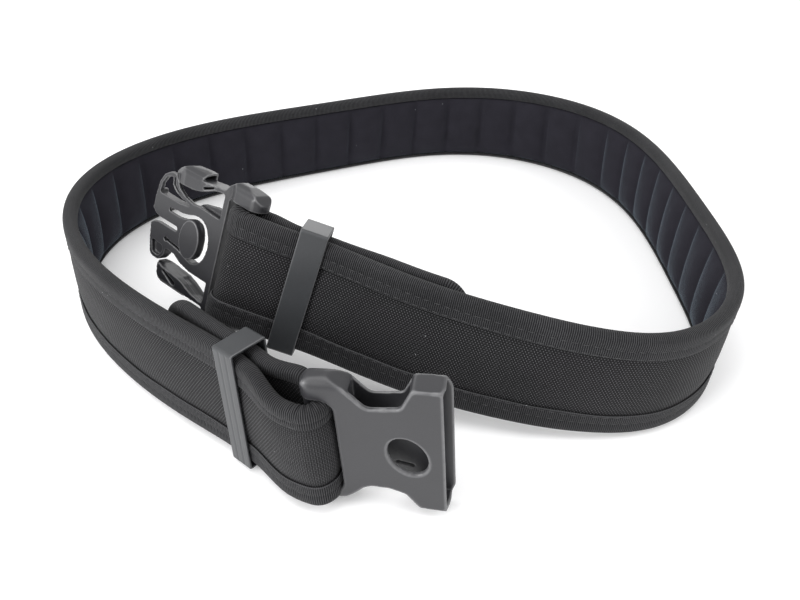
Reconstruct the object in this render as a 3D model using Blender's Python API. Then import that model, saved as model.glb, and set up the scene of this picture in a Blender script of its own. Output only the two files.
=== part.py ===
"""A padded duty belt, open, standing on its lower edge as a loop.

One continuous padded web runs round the waist. Each end passes round the bar of one half of a
side release buckle, turns back along the inside of the belt and is held by a rectangular keeper.
Metres, +Z up, +Y away from the viewer, origin in the middle of the footprint on the floor.
"""

import math

import bmesh
import bpy
import numpy as np
from mathutils import Matrix, Vector

MM = 0.001

# Web and its edge binding, mm
WEB_WIDTH = 50.0
HALF = WEB_WIDTH / 2
PAD_HALF = 1.9
CROWN = 3.0
TAPE = 0.9
GAP = 0.3
TAPE_IN = PAD_HALF + GAP
TAPE_OUT = TAPE_IN + TAPE
OUTER_LEG = 10.5
INNER_LEG = 7.0
END_RADIUS = 14.0
BODY_INSET = 1.3

# Folds round the buckle bars, mm
BAR_RADIUS = 2.1
FOLD_RADIUS = BAR_RADIUS + 0.4 + TAPE_OUT
FOLD_STEPS = 8

# How far the flat sides between two sections may stand off the true curve, mm
MAIN_SAG = 0.45

# Lining: upright pillows divided by creases. From and to along the web in mm, number of pillows.
LINING_RUNS = ((112.0, 287.0, 9), (287.0, 397.0, 6), (397.0, 706.0, 14), (706.0, 860.0, 8))
LINING_HALF = 17.4
LINING_THIN = 0.6
LINING_FULL = 2.6

# Buckle, mm
SIDE_INNER = 25.4
SOCKET_DEPTH = 10.0
SOCKET_WALL = 2.0
SOCKET_BAR = -46.2
PLUG_HALF = 33.3
BLADE_DEPTH = 4.6
HOLE = (-12.6, -2.0, 7.0, 8.6)
BUTTON = (26.6, 0.0, 6.3, 8.9, 3.7)

# Keepers, mm
KEEPER_WIDTH = 11.5
KEEPER_WALL = 1.1
KEEPER_PLAY = 0.5
KEEPER_ABOVE = 2.1
KEEPER_BELOW = 1.2

# Where the lower edge of the web runs: guide points of a smooth curve.
# x and y in mm, lift of the edge off the floor in mm, lean in degrees (minus is towards the middle).
WEB_PATH = (
    (-70.7, -61.4, 28.7, -13.0),
    (-55.6, -72.1, 24.9, -16.2),
    (-33.8, -72.2, 18.2, -19.2),
    (8.3, -91.5, 11.1, -16.4),
    (54.7, -101.9, 6.2, -10.2),
    (85.4, -104.1, 3.0, -3.3),
    (121.0, -100.8, 1.2, 0.5),
    (154.3, -63.8, 0.3, 1.3),
    (152.6, -1.7, 0.0, 0.1),
    (151.1, 66.3, 0.0, -2.5),
    (129.3, 116.0, 0.0, -5.5),
    (80.9, 145.9, 0.0, -8.4),
    (23.4, 147.2, 0.0, -10.3),
    (-40.4, 118.2, 0.1, -10.7),
    (-105.8, 89.9, 0.1, -9.5),
    (-147.0, 49.8, 0.1, -6.8),
    (-158.5, 1.0, 0.2, -4.3),
    (-134.3, -51.8, 0.5, -3.2),
    (-82.7, -97.6, 3.0, -4.8),
    (-43.4, -119.0, 3.3, -2.8),
    (-29.4, -138.7, 3.2, 1.1),
    (-13.7, -137.7, 3.2, 3.2),
)

# Buckle halves: where the middle of the bar's side sits (x, y, z in mm), which way the half points,
# how far its nose is raised and how far its top leans towards the viewer, in degrees.
PLUG_POSE = (-60.0, -57.4, 49.9, 143.3, 3.5, -22.7)
SOCKET_POSE = (25.05, -143.3, 33.5, -7.7, 4.7, -2.9)
PLUG_BAR = -2.0
PLUG_BAR_DEPTH = 1.2

# Doubled ends: distance along the web from the bar, gap between the two layers' middles, mm
PLUG_TAIL = ((0.0, 2 * FOLD_RADIUS), (8.0, 10.8), (22.0, 6.9), (37.5, 6.9), (62.0, 9.4), (99.0, 9.2))
SOCKET_TAIL = ((0.0, 2 * FOLD_RADIUS), (10.0, 11.2), (27.5, 6.8), (43.0, 6.8), (85.0, 9.8))
PLUG_KEEPER_AT = 28.1
SOCKET_KEEPER_AT = 35.2
SOCKET_KEEPER_TURN = 4.0

# Each end of the web turns on its bar, out of the line of its buckle half, degrees.
# It is level with the bar for the first few mm and has eased over to its path after this many mm.
PLUG_TURN = 15.0
SOCKET_TURN = 13.0
BAR_STRAIGHT = 6.0
PLUG_EASE = 42.0
SOCKET_EASE = 40.0

ORIGIN = (-0.35, -1.35, 0.21)


def clear_scene():
    """Leave nothing of the startup scene."""
    for obj in list(bpy.data.objects):
        bpy.data.objects.remove(obj, do_unlink=True)


def material(name, colour, roughness):
    made = bpy.data.materials.new(name)
    made.use_nodes = True
    shader = made.node_tree.nodes["Principled BSDF"]
    shader.inputs["Base Color"].default_value = (*colour, 1.0)
    shader.inputs["Roughness"].default_value = roughness
    shader.inputs["Metallic"].default_value = 0.0
    made.diffuse_color = (*colour, 1.0)
    return made


def unit(vectors):
    return vectors / np.linalg.norm(vectors, axis=-1, keepdims=True)


def smooth(t):
    t = np.clip(t, 0.0, 1.0)
    return t * t * (3 - 2 * t)


def along_table(rows, at):
    """Value at a distance, eased between the rows of a two-column table."""
    for (s0, v0), (s1, v1) in zip(rows, rows[1:]):
        if at <= s1:
            return v0 + (v1 - v0) * float(smooth((at - s0) / (s1 - s0)))
    return rows[-1][1]


def spline_weights(count, at):
    """Weights of a clamped uniform cubic spline's guide points."""
    knots = np.concatenate([[0.0] * 3, np.linspace(0, 1, count - 2), [1.0] * 3])
    at = np.minimum(at, 1 - 1e-9)
    basis = [((knots[i] <= at) & (at < knots[i + 1])) * 1.0 for i in range(len(knots) - 1)]
    for degree in (1, 2, 3):
        basis = [
            (at - knots[i]) / max(knots[i + degree] - knots[i], 1e-12) * basis[i]
            + (knots[i + degree + 1] - at) / max(knots[i + degree + 1] - knots[i + 1], 1e-12) * basis[i + 1]
            for i in range(len(basis) - 1)
        ]
    return np.stack(basis, 1)


class Pose:
    """A buckle half's own axes: along, across and out of its face, towards the viewer's side."""

    def __init__(self, row, bar_along, bar_out, web_turn):
        x, y, z, heading, nose, lean = row
        heading, nose, lean = math.radians(heading), math.radians(nose), math.radians(lean)
        level = np.array([math.cos(heading), math.sin(heading), 0.0])
        face = np.array([math.sin(heading), -math.cos(heading), 0.0])
        if face[1] > 0:
            face = -face
        up = np.array([0.0, 0.0, 1.0])
        across = math.cos(lean) * up + math.sin(lean) * face
        self.out = math.cos(lean) * face - math.sin(lean) * up
        self.along = math.cos(nose) * level + math.sin(nose) * across
        self.across = math.cos(nose) * across - math.sin(nose) * level
        self.origin = np.array([x, y, z])
        self.bar = self.origin + bar_along * self.along + bar_out * self.out
        turn = math.radians(web_turn)
        self.web_along = math.cos(turn) * self.along + math.sin(turn) * self.out
        self.web_out = math.cos(turn) * self.out - math.sin(turn) * self.along

    def matrix(self):
        columns = (self.along, self.across, self.out)
        rows = [[c[i] for c in columns] + [self.origin[i]] for i in range(3)]
        return Matrix([*rows, [0, 0, 0, 1]])


PLUG = Pose(PLUG_POSE, PLUG_BAR, -PLUG_BAR_DEPTH, PLUG_TURN)
SOCKET = Pose(SOCKET_POSE, SOCKET_BAR, -SOCKET_DEPTH / 2, SOCKET_TURN)


class MainRun:
    """The web's outer layer, from the plug's bar round the waist to the socket's bar."""

    def __init__(self):
        guide = np.array(WEB_PATH)
        at = np.linspace(0, 1, 1200)
        x, y, lift, lean = (spline_weights(len(guide), at) @ guide).T
        edge = np.stack([x, y, lift], 1)
        along = unit(np.gradient(edge, axis=0))
        out = unit(np.stack([along[:, 1], -along[:, 0], 0 * x], 1))
        up = unit(np.array([0, 0, 1.0]) - along * along[:, 2:])
        lean = np.radians(lean)[:, None]
        across = np.cos(lean) * up + np.sin(lean) * out
        face = np.cos(lean) * out - np.sin(lean) * up
        middle = edge + across * HALF
        s = np.concatenate([[0], np.cumsum(np.linalg.norm(np.diff(middle, axis=0), axis=1))])
        along = unit(np.gradient(middle, axis=0))
        for pose, ease, sign, from_bar in ((PLUG, PLUG_EASE, 1, s), (SOCKET, SOCKET_EASE, -1, s[-1] - s)):
            here = np.flatnonzero(from_bar >= ease)[0 if sign > 0 else -1]
            t = np.clip(from_bar / from_bar[here], 0, 1)[:, None]
            bar_end = pose.bar + FOLD_RADIUS * pose.web_out
            reach = np.linalg.norm(middle[here] - bar_end)
            leave, arrive = -pose.web_along * reach, sign * along[here] * reach
            curve = (1 + 2 * t) * (1 - t) ** 2 * bar_end + t * (1 - t) ** 2 * leave
            curve += t * t * (3 - 2 * t) * middle[here] + t * t * (t - 1) * arrive
            middle = np.where(t < 1, curve, middle)
            keep = smooth((from_bar - BAR_STRAIGHT) / (ease - BAR_STRAIGHT))[:, None]
            across = unit((1 - keep) * pose.across + keep * across)
            face = unit((1 - keep) * pose.web_out + keep * face)
        self.s = np.concatenate([[0], np.cumsum(np.linalg.norm(np.diff(middle, axis=0), axis=1))])
        self.length = float(self.s[-1])
        self.middle = middle
        along = unit(np.gradient(middle, axis=0))
        self.face = unit(face - along * (face * along).sum(1, keepdims=True))
        self.across = np.cross(self.face, along)
        turn = np.unwrap(np.arctan2(along[:, 1], along[:, 0]))
        self.bend = np.abs(np.gradient(turn, self.s))

    def at(self, s):
        pick = lambda values: np.array([np.interp(s, self.s, values[:, i]) for i in range(3)])
        return pick(self.middle), pick(self.across), pick(self.face)


RUN = MainRun()


def lining_stops():
    """Distances along the outer layer where the lining has a section, four to a pillow."""
    stops = [
        start + (end - start) * i / (4 * pillows)
        for start, end, pillows in LINING_RUNS
        for i in range(4 * pillows)
    ]
    return [*stops, LINING_RUNS[-1][1]]


def main_stops():
    """Distances along the outer layer where the web has a section, shared with the lining's."""
    last = RUN.length
    shared = np.array(lining_stops())
    stops = [0.0, 5.0, 10.0, 16.0, 22.0, 37.5, 48.0, 62.0, 81.0, 101.0]
    while stops[-1] < shared[-1] - 8.0:
        ahead = np.interp([stops[-1] + 5.0, stops[-1] + 15.0], RUN.s, RUN.bend).max()
        step = min(max(math.sqrt(8 * MAIN_SAG / max(ahead, 1e-4)), 11.0), 34.0)
        stops.append(float(shared[np.abs(shared - stops[-1] - step).argmin()]))
    stops += [last - s for s in (68.0, 51.0, 43.0, 27.5, 22.0, 15.0, 9.0, 4.0, 0.0)]
    return stops


class Web:
    """Every section of the web in order: doubled end, fold, outer layer, fold, doubled end."""

    def __init__(self):
        self.s, self.middle, self.across, self.face = [], [], [], []
        plug_end = PLUG_TAIL[-1][0]
        for s in (99.0, 85.0, 76.0, 62.0, 48.0, 37.5, 22.0, 16.0, 10.0, 5.0):
            middle, across, face = RUN.at(s)
            self.add(plug_end - s, middle - face * along_table(PLUG_TAIL, s), across, -face)
        here = plug_end
        for i in range(FOLD_STEPS):
            turn = math.pi * i / FOLD_STEPS
            out = -math.cos(turn) * PLUG.web_out + math.sin(turn) * PLUG.web_along
            self.add(here + FOLD_RADIUS * turn, PLUG.bar + FOLD_RADIUS * out, PLUG.across, out)
        here += FOLD_RADIUS * math.pi
        self.main_start = here
        for s in main_stops()[:-1]:
            self.add(here + s, *RUN.at(s))
        here += RUN.length
        for i in range(FOLD_STEPS):
            turn = math.pi * i / FOLD_STEPS
            out = math.cos(turn) * SOCKET.web_out + math.sin(turn) * SOCKET.web_along
            self.add(here + FOLD_RADIUS * turn, SOCKET.bar + FOLD_RADIUS * out, SOCKET.across, out)
        here += FOLD_RADIUS * math.pi
        self.socket_end = here
        for s in (0.0, 4.0, 9.0, 15.0, 22.0, 27.5, 43.0, 51.0, 60.0, 71.0, 85.0):
            middle, across, face = RUN.at(RUN.length - s)
            self.add(here + s, middle - face * along_table(SOCKET_TAIL, s), across, -face)
        self.s = np.array(self.s)
        self.middle, self.across, self.face = map(np.array, (self.middle, self.across, self.face))
        self.length = float(self.s[-1])

    def add(self, s, middle, across, face):
        self.s.append(s)
        self.middle.append(middle)
        self.across.append(across)
        self.face.append(face)

    def point(self, s, b, n):
        """Place on the web: distance along it, distance from its middle line, distance out of its middle."""
        pick = lambda values: np.array([np.interp(s, self.s, values[:, i]) for i in range(3)])
        return pick(self.middle) + pick(self.across) * b + pick(self.face) * n


WEB = Web()


def from_end(s):
    return min(s, WEB.length - s)


def skin(name, rings, colour, loop=False):
    """One closed body through rings of equal length; its two ends are capped unless it is a loop.

    A twisted side is divided along its hollow diagonal, so that neighbours stay clear of it.
    """
    bm = bmesh.new()
    made = [[bm.verts.new(Vector(p) * MM) for p in ring] for ring in rings]
    size = len(made[0])
    pairs = list(zip(made, made[1:]))
    if loop:
        pairs.append((made[-1], made[0]))
    for a, b in pairs:
        for i in range(size):
            j = (i + 1) % size
            bm.faces.new((a[i], a[j], b[j], b[i]))
    if not loop:
        bm.faces.new(made[0])
        bm.faces.new(made[-1])
    bmesh.ops.recalc_face_normals(bm, faces=bm.faces)
    for face in [f for f in bm.faces if len(f.verts) == 4]:
        a, b, c, d = face.verts
        standing = (a.co + c.co - b.co - d.co).dot(face.normal)
        bmesh.utils.face_split(face, *((a, c) if standing < 0 else (b, d)))
    return finish(name, bm, colour)


def finish(name, bm, colour, crease=38.0):
    """Turn the faces outwards, shade round parts smooth and put the object in the scene."""
    bmesh.ops.remove_doubles(bm, verts=bm.verts, dist=1e-6)
    bmesh.ops.dissolve_degenerate(bm, edges=bm.edges, dist=1e-6)
    bmesh.ops.recalc_face_normals(bm, faces=bm.faces)
    for face in bm.faces:
        face.smooth = True
    for edge in bm.edges:
        edge.smooth = len(edge.link_faces) == 2 and edge.calc_face_angle(0.0) < math.radians(crease)
    mesh = bpy.data.meshes.new(name)
    bm.to_mesh(mesh)
    bm.free()
    mesh.materials.append(colour)
    obj = bpy.data.objects.new(name, mesh)
    bpy.context.scene.collection.objects.link(obj)
    return obj


def half_width(s, inset):
    """Half width of the web this far in from its outline, which is round at the corners of both ends."""
    end = from_end(s)
    if end >= END_RADIUS:
        return HALF - inset
    reach = (END_RADIUS - inset) ** 2 - (END_RADIUS - end) ** 2
    return HALF - END_RADIUS + math.sqrt(max(reach, 0.0))


def body_ring(s):
    end = from_end(s)
    half = half_width(s, BODY_INSET)
    flat = half_width(s, BODY_INSET + 1.1)
    thick = 0.3 if end < BODY_INSET + 0.1 else PAD_HALF
    if thick < PAD_HALF:
        flat = half - 0.5
    crown = CROWN if end > 11.5 else thick
    side = 13.6 if end > END_RADIUS else 0.6 * flat
    rise = 0.25 * thick + 0.75 * crown
    outer = [(-half, 0.0), (-flat, thick), (-side, thick), (1.4 - side, rise), (0.0, crown)]
    outer += [(side - 1.4, rise), (side, thick), (flat, thick), (half, 0.0)]
    return [WEB.point(s, b, n) for b, n in [*outer, (flat, -thick), (-flat, -thick)]]


def make_body(colour):
    ends = [BODY_INSET, BODY_INSET + 1.2, 4.5, 7.5, 11.0, 12.0, END_RADIUS + 0.1]
    stops = [s for s in WEB.s if from_end(s) > 16.0]
    stops = ends + stops + [WEB.length - s for s in reversed(ends)]
    return skin("web_body", [body_ring(s) for s in stops], colour)


def edge_line():
    """The web's outline as (distance along, distance across, inward direction) all the way round."""
    line = []
    straight = [s for s in WEB.s if from_end(s) >= END_RADIUS]
    centre = HALF - END_RADIUS
    for s in straight:
        line.append((s, -HALF, (0.0, 1.0)))
    for quarter, b in ((0, -centre), (1, centre)):
        for i in range(7):
            turn = math.radians(-90 + 90 * quarter + 15 * i)
            c, n = math.cos(turn), math.sin(turn)
            line.append((WEB.length - END_RADIUS + END_RADIUS * c, b + END_RADIUS * n, (-c, -n)))
    for s in reversed(straight):
        line.append((s, HALF, (0.0, -1.0)))
    for quarter, b in ((0, centre), (1, -centre)):
        for i in range(7):
            turn = math.radians(90 + 90 * quarter + 15 * i)
            c, n = math.cos(turn), math.sin(turn)
            line.append((END_RADIUS + END_RADIUS * c, b + END_RADIUS * n, (-c, -n)))
    kept = []
    for row in line:
        if not kept or math.dist(row[:2], kept[-1][:2]) > 0.05:
            kept.append(row)
    if math.dist(kept[0][:2], kept[-1][:2]) < 0.05:
        kept.pop()
    return kept


def make_binding(colour):
    """Ribbed tape folded over the whole edge of the web, its two legs on the two faces."""
    section = (
        (OUTER_LEG, TAPE_OUT), (2.2, TAPE_OUT), (0.0, 1.2), (0.0, -1.2), (2.2, -TAPE_OUT),
        (INNER_LEG, -TAPE_OUT), (INNER_LEG, -TAPE_IN), (1.7, -TAPE_IN), (TAPE, 0.0), (1.7, TAPE_IN),
        (OUTER_LEG, TAPE_IN),
    )
    rings = []
    for s, b, (ds, db) in edge_line():
        rings.append([WEB.point(s + e * ds, b + e * db, n) for e, n in section])
    return skin("edge_binding", rings, colour, loop=True)


def make_lining(colour):
    """Pile lining gathered into upright pillows by creases."""
    rings = []
    base = -(PAD_HALF + GAP)
    for i, stop in enumerate(lining_stops()):
        s = WEB.main_start + stop
        swell = (LINING_THIN, 0.82 * LINING_FULL, LINING_FULL, 0.82 * LINING_FULL)[i % 4]
        rim = base - min(swell, 0.45 * LINING_FULL + 0.2)
        ring = [(-LINING_HALF, base), (-LINING_HALF, rim), (-0.7 * LINING_HALF, base - swell)]
        ring += [(0.7 * LINING_HALF, base - swell), (LINING_HALF, rim), (LINING_HALF, base)]
        rings.append([WEB.point(s, b, n) for b, n in ring])
    return skin("lining", rings, colour)


def prism(outline, low, high, plane="ab"):
    """A solid with this outline in one plane of the buckle half, between two distances on the third axis."""
    order = {"ab": (0, 1, 2), "bd": (1, 2, 0), "ad": (0, 2, 1)}[plane]
    bm = bmesh.new()
    ends = []
    for level in (low, high):
        ring = []
        for u, v in outline:
            place = [0.0, 0.0, 0.0]
            place[order[0]], place[order[1]], place[order[2]] = u, v, level
            ring.append(bm.verts.new(place))
        ends.append(ring)
    count = len(outline)
    for i in range(count):
        j = (i + 1) % count
        bm.faces.new((ends[0][i], ends[0][j], ends[1][j], ends[1][i]))
    bm.faces.new(ends[0])
    bm.faces.new(ends[1])
    bmesh.ops.recalc_face_normals(bm, faces=bm.faces)
    mesh = bpy.data.meshes.new("shape")
    bm.to_mesh(mesh)
    bm.free()
    obj = bpy.data.objects.new("shape", mesh)
    bpy.context.scene.collection.objects.link(obj)
    return obj


def joined(base, others, operation):
    """The base with each of the others added, cut away or kept in common."""
    for other in others:
        step = base.modifiers.new("step", "BOOLEAN")
        step.operation = operation
        step.solver = "EXACT"
        step.object = other
        bpy.context.view_layer.update()
        graph = bpy.context.evaluated_depsgraph_get()
        mesh = bpy.data.meshes.new_from_object(base.evaluated_get(graph))
        base.modifiers.clear()
        base.data = mesh
        bpy.data.objects.remove(other, do_unlink=True)
    return base


def round_corners(corners, steps=4):
    """An outline from rows of (u, v, corner radius)."""
    line = []
    count = len(corners)
    for i, (u, v, radius) in enumerate(corners):
        here = np.array([u, v])
        if radius == 0:
            line.append((u, v))
            continue
        back = np.array(corners[i - 1][:2]) - here
        ahead = np.array(corners[(i + 1) % count][:2]) - here
        back, ahead = back / np.linalg.norm(back), ahead / np.linalg.norm(ahead)
        half = math.acos(max(-1.0, min(1.0, float(back @ ahead)))) / 2
        reach = radius / math.tan(half)
        centre = here + (back + ahead) / np.linalg.norm(back + ahead) * radius / math.sin(half)
        start, end = here + back * reach - centre, here + ahead * reach - centre
        for k in range(steps + 1):
            spoke = start * (steps - k) / steps + end * k / steps
            line.append(tuple(centre + spoke / np.linalg.norm(spoke) * radius))
    return line


def mirrored(upper):
    """A whole outline from its upper half, listed from right to left."""
    return list(upper) + [(u, -v, *rest) for u, v, *rest in reversed(upper)]


def oval(a, b, half_along, half_across, steps=28):
    turns = (2 * math.pi * i / steps for i in range(steps))
    return [(a + half_along * math.cos(t), b + half_across * math.sin(t)) for t in turns]


def box_line(a0, a1, b0, b1, radius=0.0, steps=3):
    corners = ((a0, b0, radius), (a1, b0, radius), (a1, b1, radius), (a0, b1, radius))
    return round_corners(corners, steps)


def place(obj, pose, name, colour):
    """Move a finished buckle half to its pose."""
    bm = bmesh.new()
    bm.from_mesh(obj.data)
    bm.transform(pose.matrix())
    bmesh.ops.scale(bm, vec=(MM, MM, MM), verts=bm.verts)
    bmesh.ops.triangulate(bm, faces=bm.faces)
    bpy.data.objects.remove(obj, do_unlink=True)
    return finish(name, bm, colour)


def make_socket(colour):
    """Hollow half: two plates with cut-away sides, a mouth at the right and ears that hold the bar."""
    depth, wall = SOCKET_DEPTH, SOCKET_WALL
    shell = prism(round_corners(mirrored((
        (2.8, 24.5, 7.0), (0.6, 28.7, 1.5), (-10.2, 28.6, 1.5), (-13.5, 20.3, 3.0), (-25.8, 19.3, 4.0),
        (-33.8, 26.2, 5.0), (-40.5, 29.6, 6.0), (-50.0, 29.0, 2.8), (-50.0, SIDE_INNER, 0.0),
        (-37.2, SIDE_INNER, 0.0),
    ))), -depth, 0.0)
    nose, ears = (prism(round_corners((
        (half, 0.0, radius), (half, -depth, radius), (-half, -depth, radius), (-half, 0.0, radius),
    )), low, high, "bd") for half, radius, low, high in ((28.9, 2.6, -29.0, 10.0), (29.5, 4.6, -60.0, -28.0)))
    section = joined(nose, [ears], "UNION")
    side = prism(round_corners((
        (0.0, 0.0, 0.5), (2.8, wall - depth, 0.3), (2.8, -depth, 0.5), (-50.0, -depth, 4.4), (-50.0, 0.0, 4.4),
    )), -40.0, 40.0, "ad")
    joined(shell, [section, side], "INTERSECT")
    hollow = prism(mirrored(((5.0, 26.6), (-29.0, 26.6), (-29.0, 17.5), (-34.2, 17.5))), -depth + wall, -wall)
    hole = prism(oval(*HOLE), -5.0, 1.0)
    rim = prism(oval(HOLE[0], HOLE[1], HOLE[2] + 0.7, HOLE[3] + 0.7), -0.7, 1.0)
    slit = prism(box_line(-17.4, -9.6, -15.6, -14.3, 0.5), -depth - 1.0, -depth + wall + 1.0)
    joined(shell, [hollow, hole, rim, slit], "DIFFERENCE")
    turns = [2 * math.pi * i / 16 for i in range(16)]
    ring = [(SOCKET_BAR + BAR_RADIUS * math.cos(t), -depth / 2 + BAR_RADIUS * math.sin(t)) for t in turns]
    joined(shell, [prism(ring, -27.0, 27.0, "ad")], "UNION")
    return place(shell, SOCKET, "buckle_socket", colour)


def plug_arm(side):
    """One spring arm with its hollow press tab; side is 1 above and -1 below."""
    flip = lambda rows: [(a, side * b, *rest) for a, b, *rest in rows]
    spring = prism(round_corners(flip((
        (13.5, 20.3, 0.0), (18.5, 19.4, 1.5), (21.5, 16.6, 2.0), (25.0, 15.6, 2.0), (31.0, 16.5, 3.0),
        (36.0, 15.7, 3.0), (41.0, 17.2, 3.0), (46.2, 21.4, 0.8), (40.0, 24.4, 2.0), (30.0, 25.8, 2.0),
        (13.5, 26.2, 0.0),
    )), 3), -3.9, -0.7)
    root = prism(flip(((13.5, 24.7), (24.5, 24.7), (24.5, 26.9), (13.5, 26.9))), -7.6, -0.6)
    tab = prism(round_corners(flip((
        (22.4, 26.0, 0.0), (26.0, 23.4, 1.0), (29.5, 20.6, 1.5), (41.5, 20.2, 1.0), (46.3, 21.4, 0.5),
        (43.6, 25.4, 2.5), (38.5, 28.3, 5.0), (31.0, 29.3, 5.0), (24.6, 28.6, 1.5),
    )), 3), -7.8, 1.9)
    corner = ((19.0, 1.9), (27.2, 1.9), (28.6, 0.9), (29.4, -1.2), (29.4, -6.7), (28.2, -7.8), (19.0, -7.8))
    joined(tab, [prism([(side * b, out) for b, out in corner], 15.0, 50.0, "bd")], "INTERSECT")
    pocket = prism(flip(((19.0, 21.8), (40.0, 21.9), (40.0, 25.0), (34.0, 27.4), (19.0, 27.8))), -6.6, 0.7)
    window = prism(flip(((19.0, 21.8), (28.4, 21.8), (28.4, 27.7), (19.0, 27.7))), -0.5, 3.0)
    groove = prism(flip(((40.3, 22.6), (33.6, 23.4), (33.6, 24.9), (40.0, 24.0))), -0.2, 3.0)
    joined(tab, [pocket, window, groove], "DIFFERENCE")
    return joined(tab, [spring, root], "UNION")


def make_plug(colour):
    """Pronged half: a frame with ears, a slotted blade with the press button, and two spring arms."""
    half = PLUG_HALF
    frame = prism(round_corners(mirrored((
        (15.0, 29.8, 1.0), (12.5, 31.0, 1.0), (8.0, half, 3.0), (2.5, half, 3.0), (-3.5, 31.6, 3.0),
        (-6.6, 28.6, 1.5), (-6.6, SIDE_INNER, 0.0), (12.4, SIDE_INNER, 0.0),
    ))), -7.6, 2.6)
    section = prism(round_corners((
        (half, 2.6, 4.2), (half, -7.6, 4.2), (-half, -7.6, 4.2), (-half, 2.6, 4.2),
    )), -20.0, 30.0, "bd")
    side = prism(round_corners((
        (-6.6, 2.6, 4.2), (-6.6, -7.6, 4.2), (12.0, -7.6, 3.0), (15.0, -5.6, 1.0), (15.0, 0.2, 0.4),
        (12.6, 0.2, 1.0), (9.0, 2.6, 3.0),
    )), -40.0, 40.0, "ad")
    joined(frame, [section, side], "INTERSECT")
    turns = [2 * math.pi * i / 16 for i in range(16)]
    ring = [(PLUG_BAR + BAR_RADIUS * math.cos(t), -PLUG_BAR_DEPTH + BAR_RADIUS * math.sin(t)) for t in turns]
    blade = prism(round_corners(mirrored((
        (56.0, 1.0, 0.8), (55.2, 9.8, 1.0), (54.3, 15.5, 1.5), (52.2, 19.0, 1.5), (48.0, 18.6, 1.5),
        (43.5, 13.5, 1.5), (43.5, 10.3, 0.0), (37.0, 10.4, 3.0), (29.5, 14.4, 4.0), (24.0, 14.8, 3.0),
        (14.0, 14.4, 0.0),
    )), 3), -BLADE_DEPTH, 0.0)
    hooks = [
        prism([(a, s * b) for a, b in ((53.4, 10.9), (52.8, 15.2), (51.3, 17.4), (48.6, 17.2), (45.0, 13.2),
                                       (45.0, 10.9))], -2.6, 1.0)
        for s in (1, -1)
    ]
    split = prism(round_corners(((38.0, 0.9, 0.85), (60.0, 0.9, 0.0), (60.0, -0.9, 0.0), (38.0, -0.9, 0.85))),
                  -9.0, 3.0)
    middle = ((43.6, 6.5), (36.0, 6.9), (33.0, 7.8), (30.0, 9.5), (27.2, 10.2), (24.4, 9.6), (21.6, 7.4),
              (19.2, 3.8), (18.4, 0.0))
    middle = list(middle) + [(a, -b) for a, b in reversed(middle[:-1])]
    normal = unit(np.gradient(np.array(middle), axis=0)) @ np.array([[0, 1], [-1, 0]])
    slot = prism([*map(tuple, np.array(middle) + 0.85 * normal),
                  *map(tuple, (np.array(middle) - 0.85 * normal)[::-1])], -9.0, 3.0)
    joined(blade, [*hooks, split, slot], "DIFFERENCE")
    button = prism(oval(*BUTTON[:4]), -2.0, BUTTON[4])
    joined(blade, [button], "UNION")
    joined(frame, [prism(ring, -27.0, 27.0, "ad"), blade, plug_arm(1), plug_arm(-1)], "UNION")
    return place(frame, PLUG, "buckle_plug", colour)


def make_keeper(name, at, tail, turn, colour):
    """A moulded rectangular ring round both layers of the doubled end, turned a little on the web."""
    here = WEB.main_start + at
    middle = WEB.point(here, 0.0, 0.0)
    along = unit(WEB.point(here + 2.0, 0.0, 0.0) - WEB.point(here - 2.0, 0.0, 0.0))
    across = unit(WEB.point(here, 1.0, 0.0) - middle)
    across = unit(across - along * (across @ along))
    face = np.cross(along, across)
    tilt = math.radians(turn)
    along, across = math.cos(tilt) * along + math.sin(tilt) * across, math.cos(tilt) * across - math.sin(tilt) * along
    pitch = along_table(tail, at if at < RUN.length / 2 else RUN.length - at)
    front, back = TAPE_OUT + KEEPER_PLAY, pitch + TAPE_OUT + KEEPER_PLAY
    top, bottom = HALF + KEEPER_ABOVE, HALF + KEEPER_BELOW
    wall = KEEPER_WALL
    edge = KEEPER_WIDTH / 2
    rings = []
    for margin, radius, offset in (
        (wall, 1.4, 0.5 - edge), (wall, 1.4, edge - 0.5), (wall - 0.45, 1.0, edge),
        (0.0, 0.5, edge), (0.0, 0.5, -edge), (wall - 0.45, 1.0, -edge),
    ):
        high, low = front + margin, -back - margin
        corners = ((top + margin, high), (top + margin, low), (-bottom - margin, low), (-bottom - margin, high))
        outline = round_corners([(b, n, radius) for b, n in corners], 3)
        rings.append([middle + across * b + face * n + along * offset for b, n in outline])
    return skin(name, rings, colour, loop=True)


def main():
    clear_scene()
    nylon = material("padded_nylon", (0.020, 0.020, 0.022), 0.85)
    tape = material("ribbed_tape", (0.024, 0.024, 0.026), 0.80)
    pile = material("pile_lining", (0.016, 0.017, 0.024), 0.95)
    acetal = material("buckle_plastic", (0.055, 0.055, 0.060), 0.42)
    moulded = material("keeper_plastic", (0.045, 0.047, 0.050), 0.45)
    make_body(nylon)
    make_binding(tape)
    make_lining(pile)
    make_socket(acetal)
    make_plug(acetal)
    make_keeper("keeper_plug_side", PLUG_KEEPER_AT, PLUG_TAIL, 0.0, moulded)
    make_keeper("keeper_socket_side", RUN.length - SOCKET_KEEPER_AT, SOCKET_TAIL, SOCKET_KEEPER_TURN, moulded)
    shift = Matrix.Translation(Vector(ORIGIN) * MM)
    for obj in bpy.data.objects:
        obj.data.transform(shift)


main()
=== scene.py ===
"""The looks of a padded duty belt, open, standing on its lower edge as a loop.

Metres, +Z up, +Y away from the viewer. Lengths in the tables are millimetres, as on a pattern sheet.
"""

import logging
import math
import random
from dataclasses import dataclass, field
from enum import Enum
from typing import Any, Iterable, Sequence

import bmesh
import bpy
import numpy as np
from mathutils import Matrix, Vector


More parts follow.
